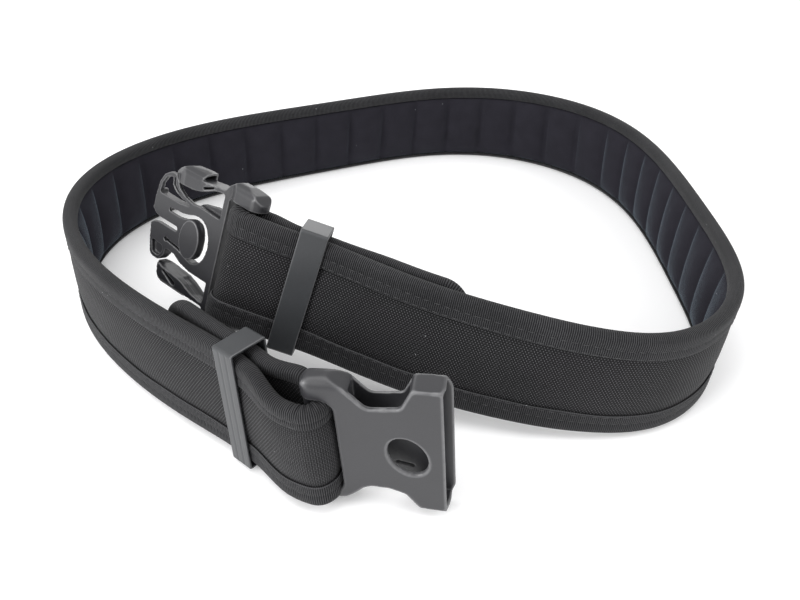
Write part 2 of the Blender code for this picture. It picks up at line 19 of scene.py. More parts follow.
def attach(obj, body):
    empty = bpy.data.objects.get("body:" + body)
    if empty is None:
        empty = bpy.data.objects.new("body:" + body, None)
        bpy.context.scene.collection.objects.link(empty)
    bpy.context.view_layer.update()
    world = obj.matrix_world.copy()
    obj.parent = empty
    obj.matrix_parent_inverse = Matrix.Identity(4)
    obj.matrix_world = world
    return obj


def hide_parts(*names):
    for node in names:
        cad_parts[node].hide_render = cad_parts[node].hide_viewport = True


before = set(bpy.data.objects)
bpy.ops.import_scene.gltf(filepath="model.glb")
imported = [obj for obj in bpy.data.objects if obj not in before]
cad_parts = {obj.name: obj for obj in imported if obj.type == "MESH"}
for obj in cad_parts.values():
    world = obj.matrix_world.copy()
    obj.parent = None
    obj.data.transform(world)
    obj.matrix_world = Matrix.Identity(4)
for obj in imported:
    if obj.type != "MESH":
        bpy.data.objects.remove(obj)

LOG = logging.getLogger("belt")
MM = 0.001
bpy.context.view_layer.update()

Colour = tuple[float, float, float]
Row = tuple[float, ...]
Rows = tuple[Row, ...]
LINT: Colour = (0.30, 0.30, 0.31)


class Layer(Enum):
    """Which of the belt's two ends a doubled layer belongs to."""

    PLUG = "plug"
    SOCKET = "socket"


class Plane(Enum):
    """The plane of a buckle half that an outline is drawn in, as its three axes in order."""

    FACE = (0, 1, 2)
    ACROSS = (1, 2, 0)
    LENGTHWISE = (0, 2, 1)


class Cut(Enum):
    """How one moulded shape acts on another."""

    ADD = "UNION"
    TAKE = "DIFFERENCE"
    KEEP = "INTERSECT"


# Shader maths


class Num:
    """A number that varies over a surface. An expression of these adds its Math nodes."""

    def __init__(self, bench: "Bench", socket: bpy.types.NodeSocket) -> None:
        """Hold a socket.

        Args:
            bench: the material's node tree.
            socket: the output that carries the number.
        """
        self.bench = bench
        self.socket = socket

    def maths(self, operation: str, *values: "Num | float") -> "Num":
        """One Math node.

        Args:
            operation: the node's operation.
            values: its inputs in order.

        Returns:
            The node's result.
        """
        node = self.bench.node("ShaderNodeMath", {"operation": operation}, dict(enumerate(values)))
        return Num(self.bench, node.outputs[0])

    def __add__(self, other: "Num | float") -> "Num":
        """Self plus other."""
        return self.maths("ADD", self, other)

    def __radd__(self, other: float) -> "Num":
        """Other plus self."""
        return self.maths("ADD", other, self)

    def __sub__(self, other: "Num | float") -> "Num":
        """Self minus other."""
        return self.maths("SUBTRACT", self, other)

    def __rsub__(self, other: float) -> "Num":
        """Other minus self."""
        return self.maths("SUBTRACT", other, self)

    def __mul__(self, other: "Num | float") -> "Num":
        """Self times other."""
        return self.maths("MULTIPLY", self, other)

    def __rmul__(self, other: float) -> "Num":
        """Other times self."""
        return self.maths("MULTIPLY", other, self)

    def sine(self) -> "Num":
        """Sine of an angle in radians."""
        return self.maths("SINE", self)

    def above(self, edge: float) -> "Num":
        """1 where the number is over the edge."""
        return self.maths("GREATER_THAN", self, edge)

    def between(self, low: float, high: float) -> "Num":
        """Ease from 0 at low to 1 at high.

        Args:
            low: where it starts.
            high: where it ends.

        Returns:
            The eased number.
        """
        node = self.bench.node(
            "ShaderNodeMapRange",
            {"interpolation_type": "SMOOTHSTEP", "clamp": True},
            {"Value": self, "From Min": low, "From Max": high, "To Min": 0.0, "To Max": 1.0},
        )
        return Num(self.bench, node.outputs[0])


class Bench:
    """A new material's node tree, with a method for each thing the finishes need."""

    def __init__(self, name: str) -> None:
        """Make the material.

        Args:
            name: the material's name.
        """
        self.material = bpy.data.materials.new(name)
        self.material.use_nodes = True
        self.tree = self.material.node_tree
        self.shader = self.tree.nodes["Principled BSDF"]

    def node(self, kind: str, settings: dict[str, Any], sockets: dict[Any, Any]) -> bpy.types.Node:
        """Add a node.

        Args:
            kind: the node's type.
            settings: attributes of the node, set first.
            sockets: a value or a link for each input, by name or number.

        Returns:
            The node.
        """
        made = self.tree.nodes.new(kind)
        for name, value in settings.items():
            setattr(made, name, value)
        for key, value in sockets.items():
            if isinstance(value, Num):
                self.tree.links.new(value.socket, made.inputs[key])
            elif isinstance(value, bpy.types.NodeSocket):
                self.tree.links.new(value, made.inputs[key])
            else:
                made.inputs[key].default_value = value
        return made

    def cloth(self) -> tuple[Num, Num]:
        """Place on the cloth in metres: along and across it."""
        uv = self.node("ShaderNodeUVMap", {"uv_map": "cloth"}, {})
        parts = self.node("ShaderNodeSeparateXYZ", {}, {0: uv.outputs[0]})
        return Num(self, parts.outputs[0]), Num(self, parts.outputs[1])

    def place(self) -> bpy.types.NodeSocket:
        """Place in the object's own space."""
        return self.node("ShaderNodeTexCoord", {}, {}).outputs["Object"]

    def attribute(self, name: str) -> Num:
        """A number stored on the mesh."""
        made = self.node("ShaderNodeAttribute", {"attribute_type": "GEOMETRY", "attribute_name": name}, {})
        return Num(self, made.outputs["Fac"])

    def noise(self, scale: float, detail: float = 2.0) -> Num:
        """Soft noise.

        Args:
            scale: cells per metre.
            detail: octaves.

        Returns:
            The noise, about 0.5 on average.
        """
        made = self.node("ShaderNodeTexNoise", {}, {"Vector": self.place(), "Scale": scale, "Detail": detail})
        return Num(self, made.outputs[0])

    def linted(
        self, body: Any, scale: float, size: float, lint: Colour = LINT, share: float = 0.10
    ) -> bpy.types.NodeSocket:
        """A colour with sparse lint on it.

        Args:
            body: the colour without it.
            scale: cells per metre.
            size: radius of a speck as a share of its cell.
            lint: its colour.
            share: part of the cells that hold a speck.

        Returns:
            The colour's socket.
        """
        cell = self.node("ShaderNodeTexVoronoi", {}, {"Vector": self.place(), "Scale": scale})
        pick = self.node("ShaderNodeSeparateColor", {}, {0: cell.outputs["Color"]})
        near = 1.0 - Num(self, cell.outputs["Distance"]).between(0.6 * size, size)
        return self.mix(near * Num(self, pick.outputs[0]).above(1.0 - share), body, lint)

    def mix(self, share: Num, first: Any, second: Any) -> bpy.types.NodeSocket:
        """Blend of two colours.

        Args:
            share: how much of the second.
            first: a colour, or a link that carries one.
            second: likewise.

        Returns:
            The blend's socket.
        """
        pair = [(*c, 1.0) if isinstance(c, tuple) else c for c in (first, second)]
        made = self.node("ShaderNodeMix", {"data_type": "RGBA"}, {0: share, 6: pair[0], 7: pair[1]})
        return made.outputs[2]

    def bump(self, height: Num, distance: float, strength: float = 1.0, under: Any = None) -> Any:
        """Small relief.

        Args:
            height: from 0 to 1.
            distance: height of 1 in metres.
            strength: how much of it shows.
            under: a relief that this one lies on.

        Returns:
            The normal's socket.
        """
        sockets = {"Height": height, "Distance": distance, "Strength": strength}
        if under is not None:
            sockets["Normal"] = under
        return self.node("ShaderNodeBump", {}, sockets).outputs[0]

    def dress(self, links: dict[str, Any], constants: dict[str, Any]) -> bpy.types.Material:
        """Finish the shader.

        Args:
            links: what varies over the surface, by socket name.
            constants: what is the same all over, by socket name.

        Returns:
            The material.
        """
        for name, value in links.items():
            source = value.socket if isinstance(value, Num) else value
            self.tree.links.new(source, self.shader.inputs[name])
        for name, value in constants.items():
            self.shader.inputs[name].default_value = value
        return self.material


# Finishes


@dataclass(frozen=True)
class WovenFace:
    """Coarse filament nylon in a plain weave: crowns of the two thread sets in a diagonal lattice, painted as
    highlights over shaded valleys.
    """

    name: str = "padded_nylon"
    warp_pitch: float = 0.65 * MM
    weft_pitch: float = 0.92 * MM
    cord_pitch: float = 0.95 * MM
    # the crowns' pale colour is painted highlight, the valleys' near black is painted shade between the
    # threads
    crown: Colour = (0.080, 0.079, 0.084)
    weft: Colour = (0.012, 0.012, 0.013)
    shaded_valley: Colour = (0.0025, 0.0025, 0.003)
    # where the cloth is bent so far that its threads show as upright cords, and how far that eases out
    fold: tuple[float, float] = (0.0, 0.0)
    fold_ease: float = 9 * MM

    def make(self) -> bpy.types.Material:
        """Build the material."""
        bench = Bench(self.name)
        u, v = bench.cloth()
        columns = (u * (math.pi / self.warp_pitch)).sine()
        rows = (v * (math.pi / self.weft_pitch)).sine()
        threads = columns * rows
        over = threads.between(0.22, 0.90)
        under = (threads * -1.0).between(0.10, 0.90)
        low, high = self.fold
        bent = u.between(low - self.fold_ease, low) * (1.0 - u.between(high, high + self.fold_ease))
        cord = (u * (2 * math.pi / self.cord_pitch)).sine().between(-0.6, 0.8)
        tone = bench.noise(60.0, 3.0)
        uneven = 0.55 + bench.noise(700.0, 1.0) * 0.9
        # painted highlight on the crowns and the cords at the fold, over painted shade in the valleys
        lit = (over * (1.0 - bent * 0.65) + cord * bent * 0.30) * (0.6 + tone * 0.8) * uneven
        ground = bench.mix(under, self.shaded_valley, self.weft)
        colour = bench.linted(bench.mix(lit, ground, self.crown), 260.0, 0.07)
        relief = bench.bump(bench.noise(220.0, 2.0), 0.25 * MM, 0.5)
        height = over * 0.6 + under * 0.35 + cord * bent * 0.4
        normal = bench.bump(height, 0.20 * MM, 0.7, relief)
        return bench.dress(
            {"Base Color": colour, "Roughness": 0.80 - over * 0.15, "Normal": normal},
            {"Sheen Weight": 0.04, "Sheen Roughness": 0.5, "Specular IOR Level": 0.22},
        )


@dataclass(frozen=True)
class RibbedTape:
    """Binding tape with ribs across it and a smooth selvedge along each free edge."""

    name: str = "ribbed_tape"
    pitch: float = 0.82 * MM
    cross_pitch: float = 0.7 * MM
    # the ribs' pale colour is painted highlight, the gaps' near black is painted shade between the ribs
    rib: Colour = (0.054, 0.054, 0.057)
    gap: Colour = (0.002, 0.002, 0.003)
    selvedge: Colour = (0.085, 0.085, 0.089)

    def make(self) -> bpy.types.Material:
        """Build the material."""
        bench = Bench(self.name)
        u, v = bench.cloth()
        wander = bench.noise(90.0, 2.0)
        ribs = (u * (2 * math.pi / self.pitch) + wander * 2.2).sine().between(-0.7, 0.9)
        cross = (v * (2 * math.pi / self.cross_pitch)).sine() * 0.5 + 0.5
        tone = bench.noise(45.0, 3.0)
        lit = ribs * (0.35 + tone * 0.8) * (0.6 + bench.noise(800.0, 1.0) * 0.8)
        edge = 1.0 - v.between(0.25 * MM, 0.6 * MM)
        bordered = bench.mix(edge * 0.6, bench.mix(lit, self.gap, self.rib), self.selvedge)
        colour = bench.linted(bordered, 300.0, 0.07)
        under = bench.bump(bench.noise(150.0, 2.0), 0.3 * MM, 0.5)
        normal = bench.bump(ribs * 0.8 + cross * 0.2, 0.25 * MM, 0.8, under)
        return bench.dress(
            {"Base Color": colour, "Roughness": 0.82 - ribs * 0.17, "Normal": normal},
            {"Sheen Weight": 0.05, "Sheen Roughness": 0.5, "Specular IOR Level": 0.22},
        )


@dataclass(frozen=True)
class PileLining:
    """Short brushed pile, blue-black, brighter where it is seen along its surface."""

    name: str = "pile_lining"
    deep: Colour = (0.0090, 0.0085, 0.0112)
    tip: Colour = (0.026, 0.0245, 0.0325)
    lint: Colour = (0.32, 0.34, 0.36)
    sheen: Colour = (0.55, 0.72, 0.85)

    def make(self) -> bpy.types.Material:
        """Build the material."""
        bench = Bench(self.name)
        fibre = bench.noise(2600.0, 3.0)
        nap = bench.noise(120.0, 3.0)
        base = bench.mix(fibre * 0.6 + nap * 0.5, self.deep, self.tip)
        colour = bench.linted(base, 240.0, 0.08, self.lint)
        normal = bench.bump(fibre, 0.25 * MM, 0.7, bench.bump(nap, 0.5 * MM, 0.6))
        return bench.dress(
            {"Base Color": colour, "Roughness": 0.9 + fibre * 0.1, "Normal": normal},
            {
                "Sheen Weight": 0.28,
                "Sheen Roughness": 0.28,
                "Sheen Tint": (*self.sheen, 1.0),
                "Specular IOR Level": 0.12,
            },
        )


@dataclass(frozen=True)
class MouldedPlastic:
    """Satin moulded plastic with a fine spark-eroded grain."""

    name: str
    colour: Colour
    roughness: float = 0.38
    grain: float = 0.045 * MM
    # colour of the painted highlight laid on outward edges
    edge: Colour = (0.16, 0.16, 0.165)
    highlight_in_cloth: bool = False

    def make(self) -> bpy.types.Material:
        """Build the material."""
        bench = Bench(self.name)
        tone = bench.noise(70.0, 3.0)
        fine = bench.noise(1700.0, 3.0)
        dark, light = (tuple(factor * c for c in self.colour) for factor in (0.66, 1.42))
        body = bench.mix(tone * 0.4 + fine * 0.6, dark, light)
        # how much painted highlight an outward edge gets: keepers carry it in their cloth places, buckle
        # halves on the mesh
        edge_highlight = (bench.cloth()[0] if self.highlight_in_cloth else bench.attribute("edge")).between(0.15, 0.85)
        colour = bench.mix(edge_highlight * (0.35 + bench.noise(400.0, 2.0) * 0.7), body, self.edge)
        rough = self.roughness - 0.05 + fine * 0.10 + tone * 0.04
        under = bench.bump(bench.noise(55.0, 1.0), 0.12 * MM, 0.35)
        normal = bench.bump(fine, self.grain, 0.6, under)
        return bench.dress(
            {"Base Color": colour, "Roughness": rough, "Normal": normal},
            {"Specular IOR Level": 0.62},
        )


@dataclass(frozen=True)
class SewingThread:
    """Black polyester thread, a little glossier than the tape."""

    name: str = "sewing_thread"
    dark: Colour = (0.016, 0.016, 0.017)
    pale: Colour = (0.068, 0.068, 0.071)

    def make(self) -> bpy.types.Material:
        """Build the material."""
        bench = Bench(self.name)
        twist = bench.noise(2500.0, 1.0)
        colour = bench.mix(twist, self.dark, self.pale)
        return bench.dress(
            {"Base Color": colour, "Roughness": 0.55 + twist * 0.2, "Normal": bench.bump(twist, 0.1 * MM)},
            {"Specular IOR Level": 0.45},
        )


@dataclass(frozen=True)
class WhitePaper:
    """The pale floor, which glows faintly as an overexposed one does."""

    name: str = "white_paper"
    dark: Colour = (0.93, 0.93, 0.935)
    pale: Colour = (0.95, 0.95, 0.955)
    glow: float = 0.12

    def make(self) -> bpy.types.Material:
        """Build the material."""
        bench = Bench(self.name)
        colour = bench.mix(bench.noise(3.0, 2.0), self.dark, self.pale)
        glow = {"Emission Color": (1.0, 1.0, 1.0, 1.0), "Emission Strength": self.glow}
        return bench.dress({"Base Color": colour}, {"Roughness": 0.9, "Specular IOR Level": 0.1, **glow})


# Where the web runs


def unit(vectors: np.ndarray) -> np.ndarray:
    """Vectors of length 1."""
    return vectors / np.linalg.norm(vectors, axis=-1, keepdims=True)


def ease(t: np.ndarray | float) -> np.ndarray:
    """Smooth step from 0 to 1."""
    t = np.clip(t, 0.0, 1.0)
    return t * t * (3 - 2 * t)


def length_along(places: np.ndarray) -> np.ndarray:
    """Length of a line of places up to each of them."""
    return np.concatenate([[0], np.cumsum(np.linalg.norm(np.diff(places, axis=0), axis=1))])


def read_line(at: np.ndarray, s: np.ndarray, line: np.ndarray) -> np.ndarray:
    """A line's own values at distances along it, where s holds the distances of its rows."""
    return np.stack([np.interp(at, s, line[:, i]) for i in range(3)], -1)


def placing(x: Iterable[float], y: Iterable[float], z: Iterable[float], origin: Iterable[float]) -> Matrix:
    """The matrix with these axes and this origin."""
    return Matrix([[float(c) for c in row] for row in zip(x, y, z, origin)] + [[0, 0, 0, 1]])


def along_table(rows: Sequence[Row], at: np.ndarray) -> np.ndarray:
    """Values at distances, eased between the rows of a two-column table.

    Args:
        rows: distance and value.
        at: the distances.

    Returns:
        A value for each.
    """
    out = np.full_like(at, rows[0][1], dtype=float)
    for (s0, v0), (s1, v1) in zip(rows, rows[1:]):
        out = np.where(at > s0, v0 + (v1 - v0) * ease((at - s0) / (s1 - s0)), out)
    return out


def spline_weights(count: int, at: np.ndarray) -> np.ndarray:
    """Weights of a clamped uniform cubic spline's guide points.

    Args:
        count: how many guide points.
        at: places on it, from 0 to 1.

    Returns:
        A row of weights for each place.
    """
    knots = np.concatenate([[0.0] * 3, np.linspace(0, 1, count - 2), [1.0] * 3])
    at = np.minimum(at, 1 - 1e-9)
    basis = [((knots[i] <= at) & (at < knots[i + 1])) * 1.0 for i in range(len(knots) - 1)]
    for degree in (1, 2, 3):
        basis = [
            (at - knots[i]) / max(knots[i + degree] - knots[i], 1e-12) * basis[i]
            + (knots[i + degree + 1] - at) / max(knots[i + degree + 1] - knots[i + 1], 1e-12) * basis[i + 1]
            for i in range(len(basis) - 1)
        ]
    return np.stack(basis, 1)


@dataclass
class Pose:
    """A buckle half's own axes: along, across and out of its face.

    The row is x, y and z of the middle of the bar's side in mm, the way the half points, how far its
    nose is raised and how far its top leans towards the viewer, in degrees.
    """

    row: Row
    bar_along: float
    bar_out: float
    web_turn: float

    def __post_init__(self) -> None:
        """Work out the axes."""
        x, y, z, *angles = self.row
        heading, nose, lean = (math.radians(a) for a in angles)
        level = np.array([math.cos(heading), math.sin(heading), 0.0])
        face = np.array([math.sin(heading), -math.cos(heading), 0.0])
        if face[1] > 0:
            face = -face
        up = np.array([0.0, 0.0, 1.0])
        across = math.cos(lean) * up + math.sin(lean) * face
        self.out = math.cos(lean) * face - math.sin(lean) * up
        self.along = math.cos(nose) * level + math.sin(nose) * across
        self.across = math.cos(nose) * across - math.sin(nose) * level
        self.origin = np.array([x, y, z])
        self.bar = self.origin + self.bar_along * self.along + self.bar_out * self.out
        turn = math.radians(self.web_turn)
        self.web_along = math.cos(turn) * self.along + math.sin(turn) * self.out
        self.web_out = math.cos(turn) * self.out - math.sin(turn) * self.along

    def matrix(self, origin: np.ndarray) -> Matrix:
        """From the half's own millimetres to the belt's metres.

        Args:
            origin: the belt's shift to its own origin, mm.

        Returns:
            The matrix.
        """
        return placing(self.along * MM, self.across * MM, self.out * MM, (self.origin + origin) * MM)


@dataclass
class WebRoute:
    """The web's whole way: doubled end, fold, run round the waist, fold, doubled end."""

    half: float = 25.0
    end_radius: float = 14.0
    fold_radius: float = 5.6
    fold_reach: float = 14.0
    plug: Pose = field(
        default_factory=lambda: Pose((-60.0, -57.4, 49.9, 143.3, 3.5, -22.7), -2.0, -1.2, 15.0)
    )
    socket: Pose = field(
        default_factory=lambda: Pose((25.05, -143.3, 33.5, -7.7, 4.7, -2.9), -46.2, -5.0, 13.0)
    )
    origin: tuple[float, float, float] = (-0.35, -1.35, 0.21)
    # x, y and lift of the lower edge in mm, lean in degrees (minus is towards the middle)
    guide: Rows = (
        (-70.7, -61.4, 28.7, -13.0),
        (-55.6, -72.1, 24.9, -16.2),
        (-33.8, -72.2, 18.2, -19.2),
        (8.3, -91.5, 11.1, -16.4),
        (54.7, -101.9, 6.2, -10.2),
        (85.4, -104.1, 3.0, -3.3),
        (121.0, -100.8, 1.2, 0.5),
        (154.3, -63.8, 0.3, 1.3),
        (152.6, -1.7, 0.0, 0.1),
        (151.1, 66.3, 0.0, -2.5),
        (129.3, 116.0, 0.0, -5.5),
        (80.9, 145.9, 0.0, -8.4),
        (23.4, 147.2, 0.0, -10.3),
        (-40.4, 118.2, 0.1, -10.7),
        (-105.8, 89.9, 0.1, -9.5),
        (-147.0, 49.8, 0.1, -6.8),
        (-158.5, 1.0, 0.2, -4.3),
        (-134.3, -51.8, 0.5, -3.2),
        (-82.7, -97.6, 3.0, -4.8),
        (-43.4, -119.0, 3.3, -2.8),
        (-29.4, -138.7, 3.2, 1.1),
        (-13.7, -137.7, 3.2, 3.2),
    )
    # distance from the bar, gap between the two layers' middles
    plug_tail: Rows = ((0.0, 11.2), (8.0, 10.8), (22.0, 6.9), (37.5, 6.9), (62.0, 9.4), (99.0, 9.2))
    socket_tail: Rows = ((0.0, 11.2), (10.0, 11.2), (27.5, 6.8), (43.0, 6.8), (85.0, 9.8))
    plug_ease: float = 42.0
    socket_ease: float = 40.0
    bar_straight: float = 6.0
    droop: float = 3.2
    bulge: float = 2.2
    push: float = 1.0
    push_low: float = 2.7

    def __post_init__(self) -> None:
        """Lay the run, then the folds and the doubled ends."""
        self.lay_run()
        plug_tail, socket_tail = self.plug_tail[-1][0], self.socket_tail[-1][0]
        self.main_start = plug_tail + math.pi * self.fold_radius
        fold_at = self.main_start + self.run_length
        self.plug_fold = (plug_tail, self.main_start)
        self.socket_fold = (fold_at, fold_at + math.pi * self.fold_radius)
        run = (self.main_start + self.run_s, self.run_middle, self.run_across, self.run_face)
        parts = [
            self.doubled(self.plug_tail, np.arange(plug_tail, 0.4, -1.0), 0.0, False),
            self.fold(self.plug, plug_tail, False),
            tuple(column[:-1] for column in run),
            self.fold(self.socket, fold_at, True),
            self.doubled(self.socket_tail, np.arange(0.0, socket_tail + 0.1, 1.0), self.socket_fold[1], True),
        ]
        self.s, self.middle, self.across, self.face = (np.concatenate(column) for column in zip(*parts))
        self.middle = self.middle + np.array(self.origin)
        self.length = float(self.s[-1])

    def lay_run(self) -> None:
        """Work out the outer layer, which pivots on the two bars and eases over to its guide."""
        at = np.linspace(0, 1, 1200)
        x, y, lift, lean = (spline_weights(len(self.guide), at) @ np.array(self.guide)).T
        edge = np.stack([x, y, lift], 1)
        along = unit(np.gradient(edge, axis=0))
        out = unit(np.stack([along[:, 1], -along[:, 0], 0 * x], 1))
        up = unit(np.array([0, 0, 1.0]) - along * along[:, 2:])
        lean = np.radians(lean)[:, None]
        across = np.cos(lean) * up + np.sin(lean) * out
        face = np.cos(lean) * out - np.sin(lean) * up
        middle = edge + across * self.half
        s = length_along(middle)
        along = unit(np.gradient(middle, axis=0))
        for pose, reach_s, sign, from_bar in (
            (self.plug, self.plug_ease, 1, s),
            (self.socket, self.socket_ease, -1, s[-1] - s),
        ):
            here = np.flatnonzero(from_bar >= reach_s)[0 if sign > 0 else -1]
            t = np.clip(from_bar / from_bar[here], 0, 1)[:, None]
            bar_end = pose.bar + self.fold_radius * pose.web_out
            reach = np.linalg.norm(middle[here] - bar_end)
            leave, arrive = -pose.web_along * reach, sign * along[here] * reach
            curve = (1 + 2 * t) * (1 - t) ** 2 * bar_end + t * (1 - t) ** 2 * leave
            curve += t * t * (3 - 2 * t) * middle[here] + t * t * (t - 1) * arrive
            middle = np.where(t < 1, curve, middle)
            keep = ease((from_bar - self.bar_straight) / (reach_s - self.bar_straight))[:, None]
            across = unit((1 - keep) * pose.across + keep * across)
            face = unit((1 - keep) * pose.web_out + keep * face)
        self.run_s = length_along(middle)
        self.run_length = float(self.run_s[-1])
        self.run_middle = middle
        along = unit(np.gradient(middle, axis=0))
        self.run_face = unit(face - along * (face * along).sum(1, keepdims=True))
        self.run_across = np.cross(self.run_face, along)

    def doubled(
        self, table: Sequence[Row], from_bar: np.ndarray, start: float, onward: bool
    ) -> tuple[np.ndarray, ...]:
        """The layer that is turned back behind the run.

        Args:
            table: the gap between the layers.
            from_bar: distances from the bar, in the web's order.
            start: where the web stands at the first of them.
            onward: whether it leads away from the bar.

        Returns:
            Distance along the web, middle, across and face of each place.
        """
        at = self.run_length - from_bar if onward else from_bar
        lines = (self.run_middle, self.run_across, self.run_face)
        middle, across, face = (read_line(at, self.run_s, line) for line in lines)
        s = start + from_bar if onward else table[-1][0] - from_bar
        return s, middle - face * along_table(table, from_bar)[:, None], across, -face

    def fold(self, pose: Pose, start: float, onward: bool, steps: int = 36) -> tuple[np.ndarray, ...]:
        """Half a turn round a bar.

        Args:
            pose: the buckle half.
            start: where the web stands at its beginning.
            onward: whether the fold leads from the run to the doubled end.
            steps: how many places.

        Returns:
            Distance along the web, middle, across and face of each place.
        """
        turn = math.pi * np.arange(steps) / steps
        sign = 1.0 if onward else -1.0
        out = sign * np.cos(turn)[:, None] * pose.web_out + np.sin(turn)[:, None] * pose.web_along
        across = np.repeat(pose.across[None], steps, 0)
        return start + self.fold_radius * turn, pose.bar + self.fold_radius * out, across, out

    def at(self, s: np.ndarray, b: np.ndarray, n: np.ndarray) -> np.ndarray:
        """Places on the web, in metres.

        Args:
            s: distances along it.
            b: distances from its middle line.
            n: distances out of its middle.

        Returns:
            An array one axis deeper than the three, which are broadcast together.
        """
        s, b, n = np.broadcast_arrays(s, b, n)
        # the fold at the socket hangs lower at its upper edge, and the web before it bulges out
        start, end = self.socket_fold
        there = ease((s - start + 26) / 20) * (1 - ease((s - end + 2) / 12))
        b = b - there * (0.5 + self.droop * ease((b - 9) / 16) ** 1.5)
        bulge = self.bulge * ease((s - start + 28) / 20) * (1 - ease((s - start - 2) / 13))
        # the web at the plug's bar is pushed towards the plug's nose, at its lower edge more
        low, high = self.plug_fold
        beyond = ease((np.maximum(low - s, s - high) - 2) / 17)
        push = (self.push * ease((b - 5) / 15) + self.push_low * ease((-4 - b) / 18)) * (1 - beyond)
        lines = (self.middle, self.across, self.face)
        middle, across, face = (read_line(s, self.s, line) for line in lines)
        places = middle + across * b[..., None] + face * n[..., None]
        places = places + push[..., None] * self.plug.along
        return (places + bulge[..., None] * self.socket.web_out) * MM

    def face_run(self, s: np.ndarray) -> np.ndarray:
        """Length along the outer face up to a place, metres, which is longer than the middle on the folds."""
        fine = np.arange(0.0, self.length, 0.4)
        places = self.at(fine, np.array(0.0), np.array(3.0))
        return np.interp(s, fine, length_along(places))

    def from_end(self, s: np.ndarray) -> np.ndarray:
        """Distance to the nearer end of the web."""
        return np.minimum(s, self.length - s)

    def near_fold(self, s: np.ndarray, reach: float) -> np.ndarray:
        """1 on the two folds, easing to 0 this far beyond them."""
        out = np.zeros_like(s)
        for low, high in (self.plug_fold, self.socket_fold):
            away = np.maximum(low - s, s - high)
            out = np.maximum(out, 1 - ease(away / reach))
        return out

    def half_width(self, s: np.ndarray, inset: float) -> np.ndarray:
        """Half width this far in from the outline, which is round at the corners of both ends."""
        end = self.from_end(s)
        reach = np.maximum((self.end_radius - inset) ** 2 - np.maximum(self.end_radius - end, 0) ** 2, 0.0)
        return self.half - self.end_radius + np.sqrt(reach)

    def stations(self, low: float, high: float, step: float, fold_step: float) -> np.ndarray:
        """Distances between two places, closer together on the folds.

        Args:
            low: first place.
            high: last place.
            step: usual distance.
            fold_step: distance on and beside the folds.

        Returns:
            The distances.
        """
        found = [low]
        while found[-1] < high - 1e-6:
            here = found[-1]
            near = float(self.near_fold(np.array([here + fold_step]), self.fold_reach)[0]) > 0.02
            found.append(min(here + (fold_step if near else step), high))
        if len(found) > 2 and found[-1] - found[-2] < 0.3 * fold_step:
            found.pop(-2)
        return np.array(found)


# Mesh making


def put(name: str, data: Any) -> bpy.types.Object:
    """A new object in the scene."""
    obj = bpy.data.objects.new(name, data)
    bpy.context.scene.collection.objects.link(obj)
    return obj


def put_mesh(name: str, bm: bmesh.types.BMesh) -> bpy.types.Object:
    """A new object in the scene from a bmesh, which is freed."""
    mesh = bpy.data.meshes.new(name)
    bm.to_mesh(mesh)
    bm.free()
    return put(name, mesh)


def settled(mesh: bpy.types.Mesh, digits: int) -> bpy.types.Mesh:
    """A copy of a mesh with corners and faces in a fixed order, since cuts and balls leave theirs to chance.

    Args:
        mesh: the mesh.
        digits: decimals that a corner's place keeps.

    Returns:
        The copy.
    """
    places = [tuple(round(c, digits) for c in vert.co) for vert in mesh.vertices]
    order = sorted(range(len(places)), key=places.__getitem__)
    rank = {old: new for new, old in enumerate(order)}
    rings = []
    for face in mesh.polygons:
        ring = [rank[i] for i in face.vertices]
        first = ring.index(min(ring))
        rings.append(ring[first:] + ring[:first])
    copy = bpy.data.meshes.new(mesh.name)
    copy.from_pydata([places[i] for i in order], [], sorted(rings))
    return copy


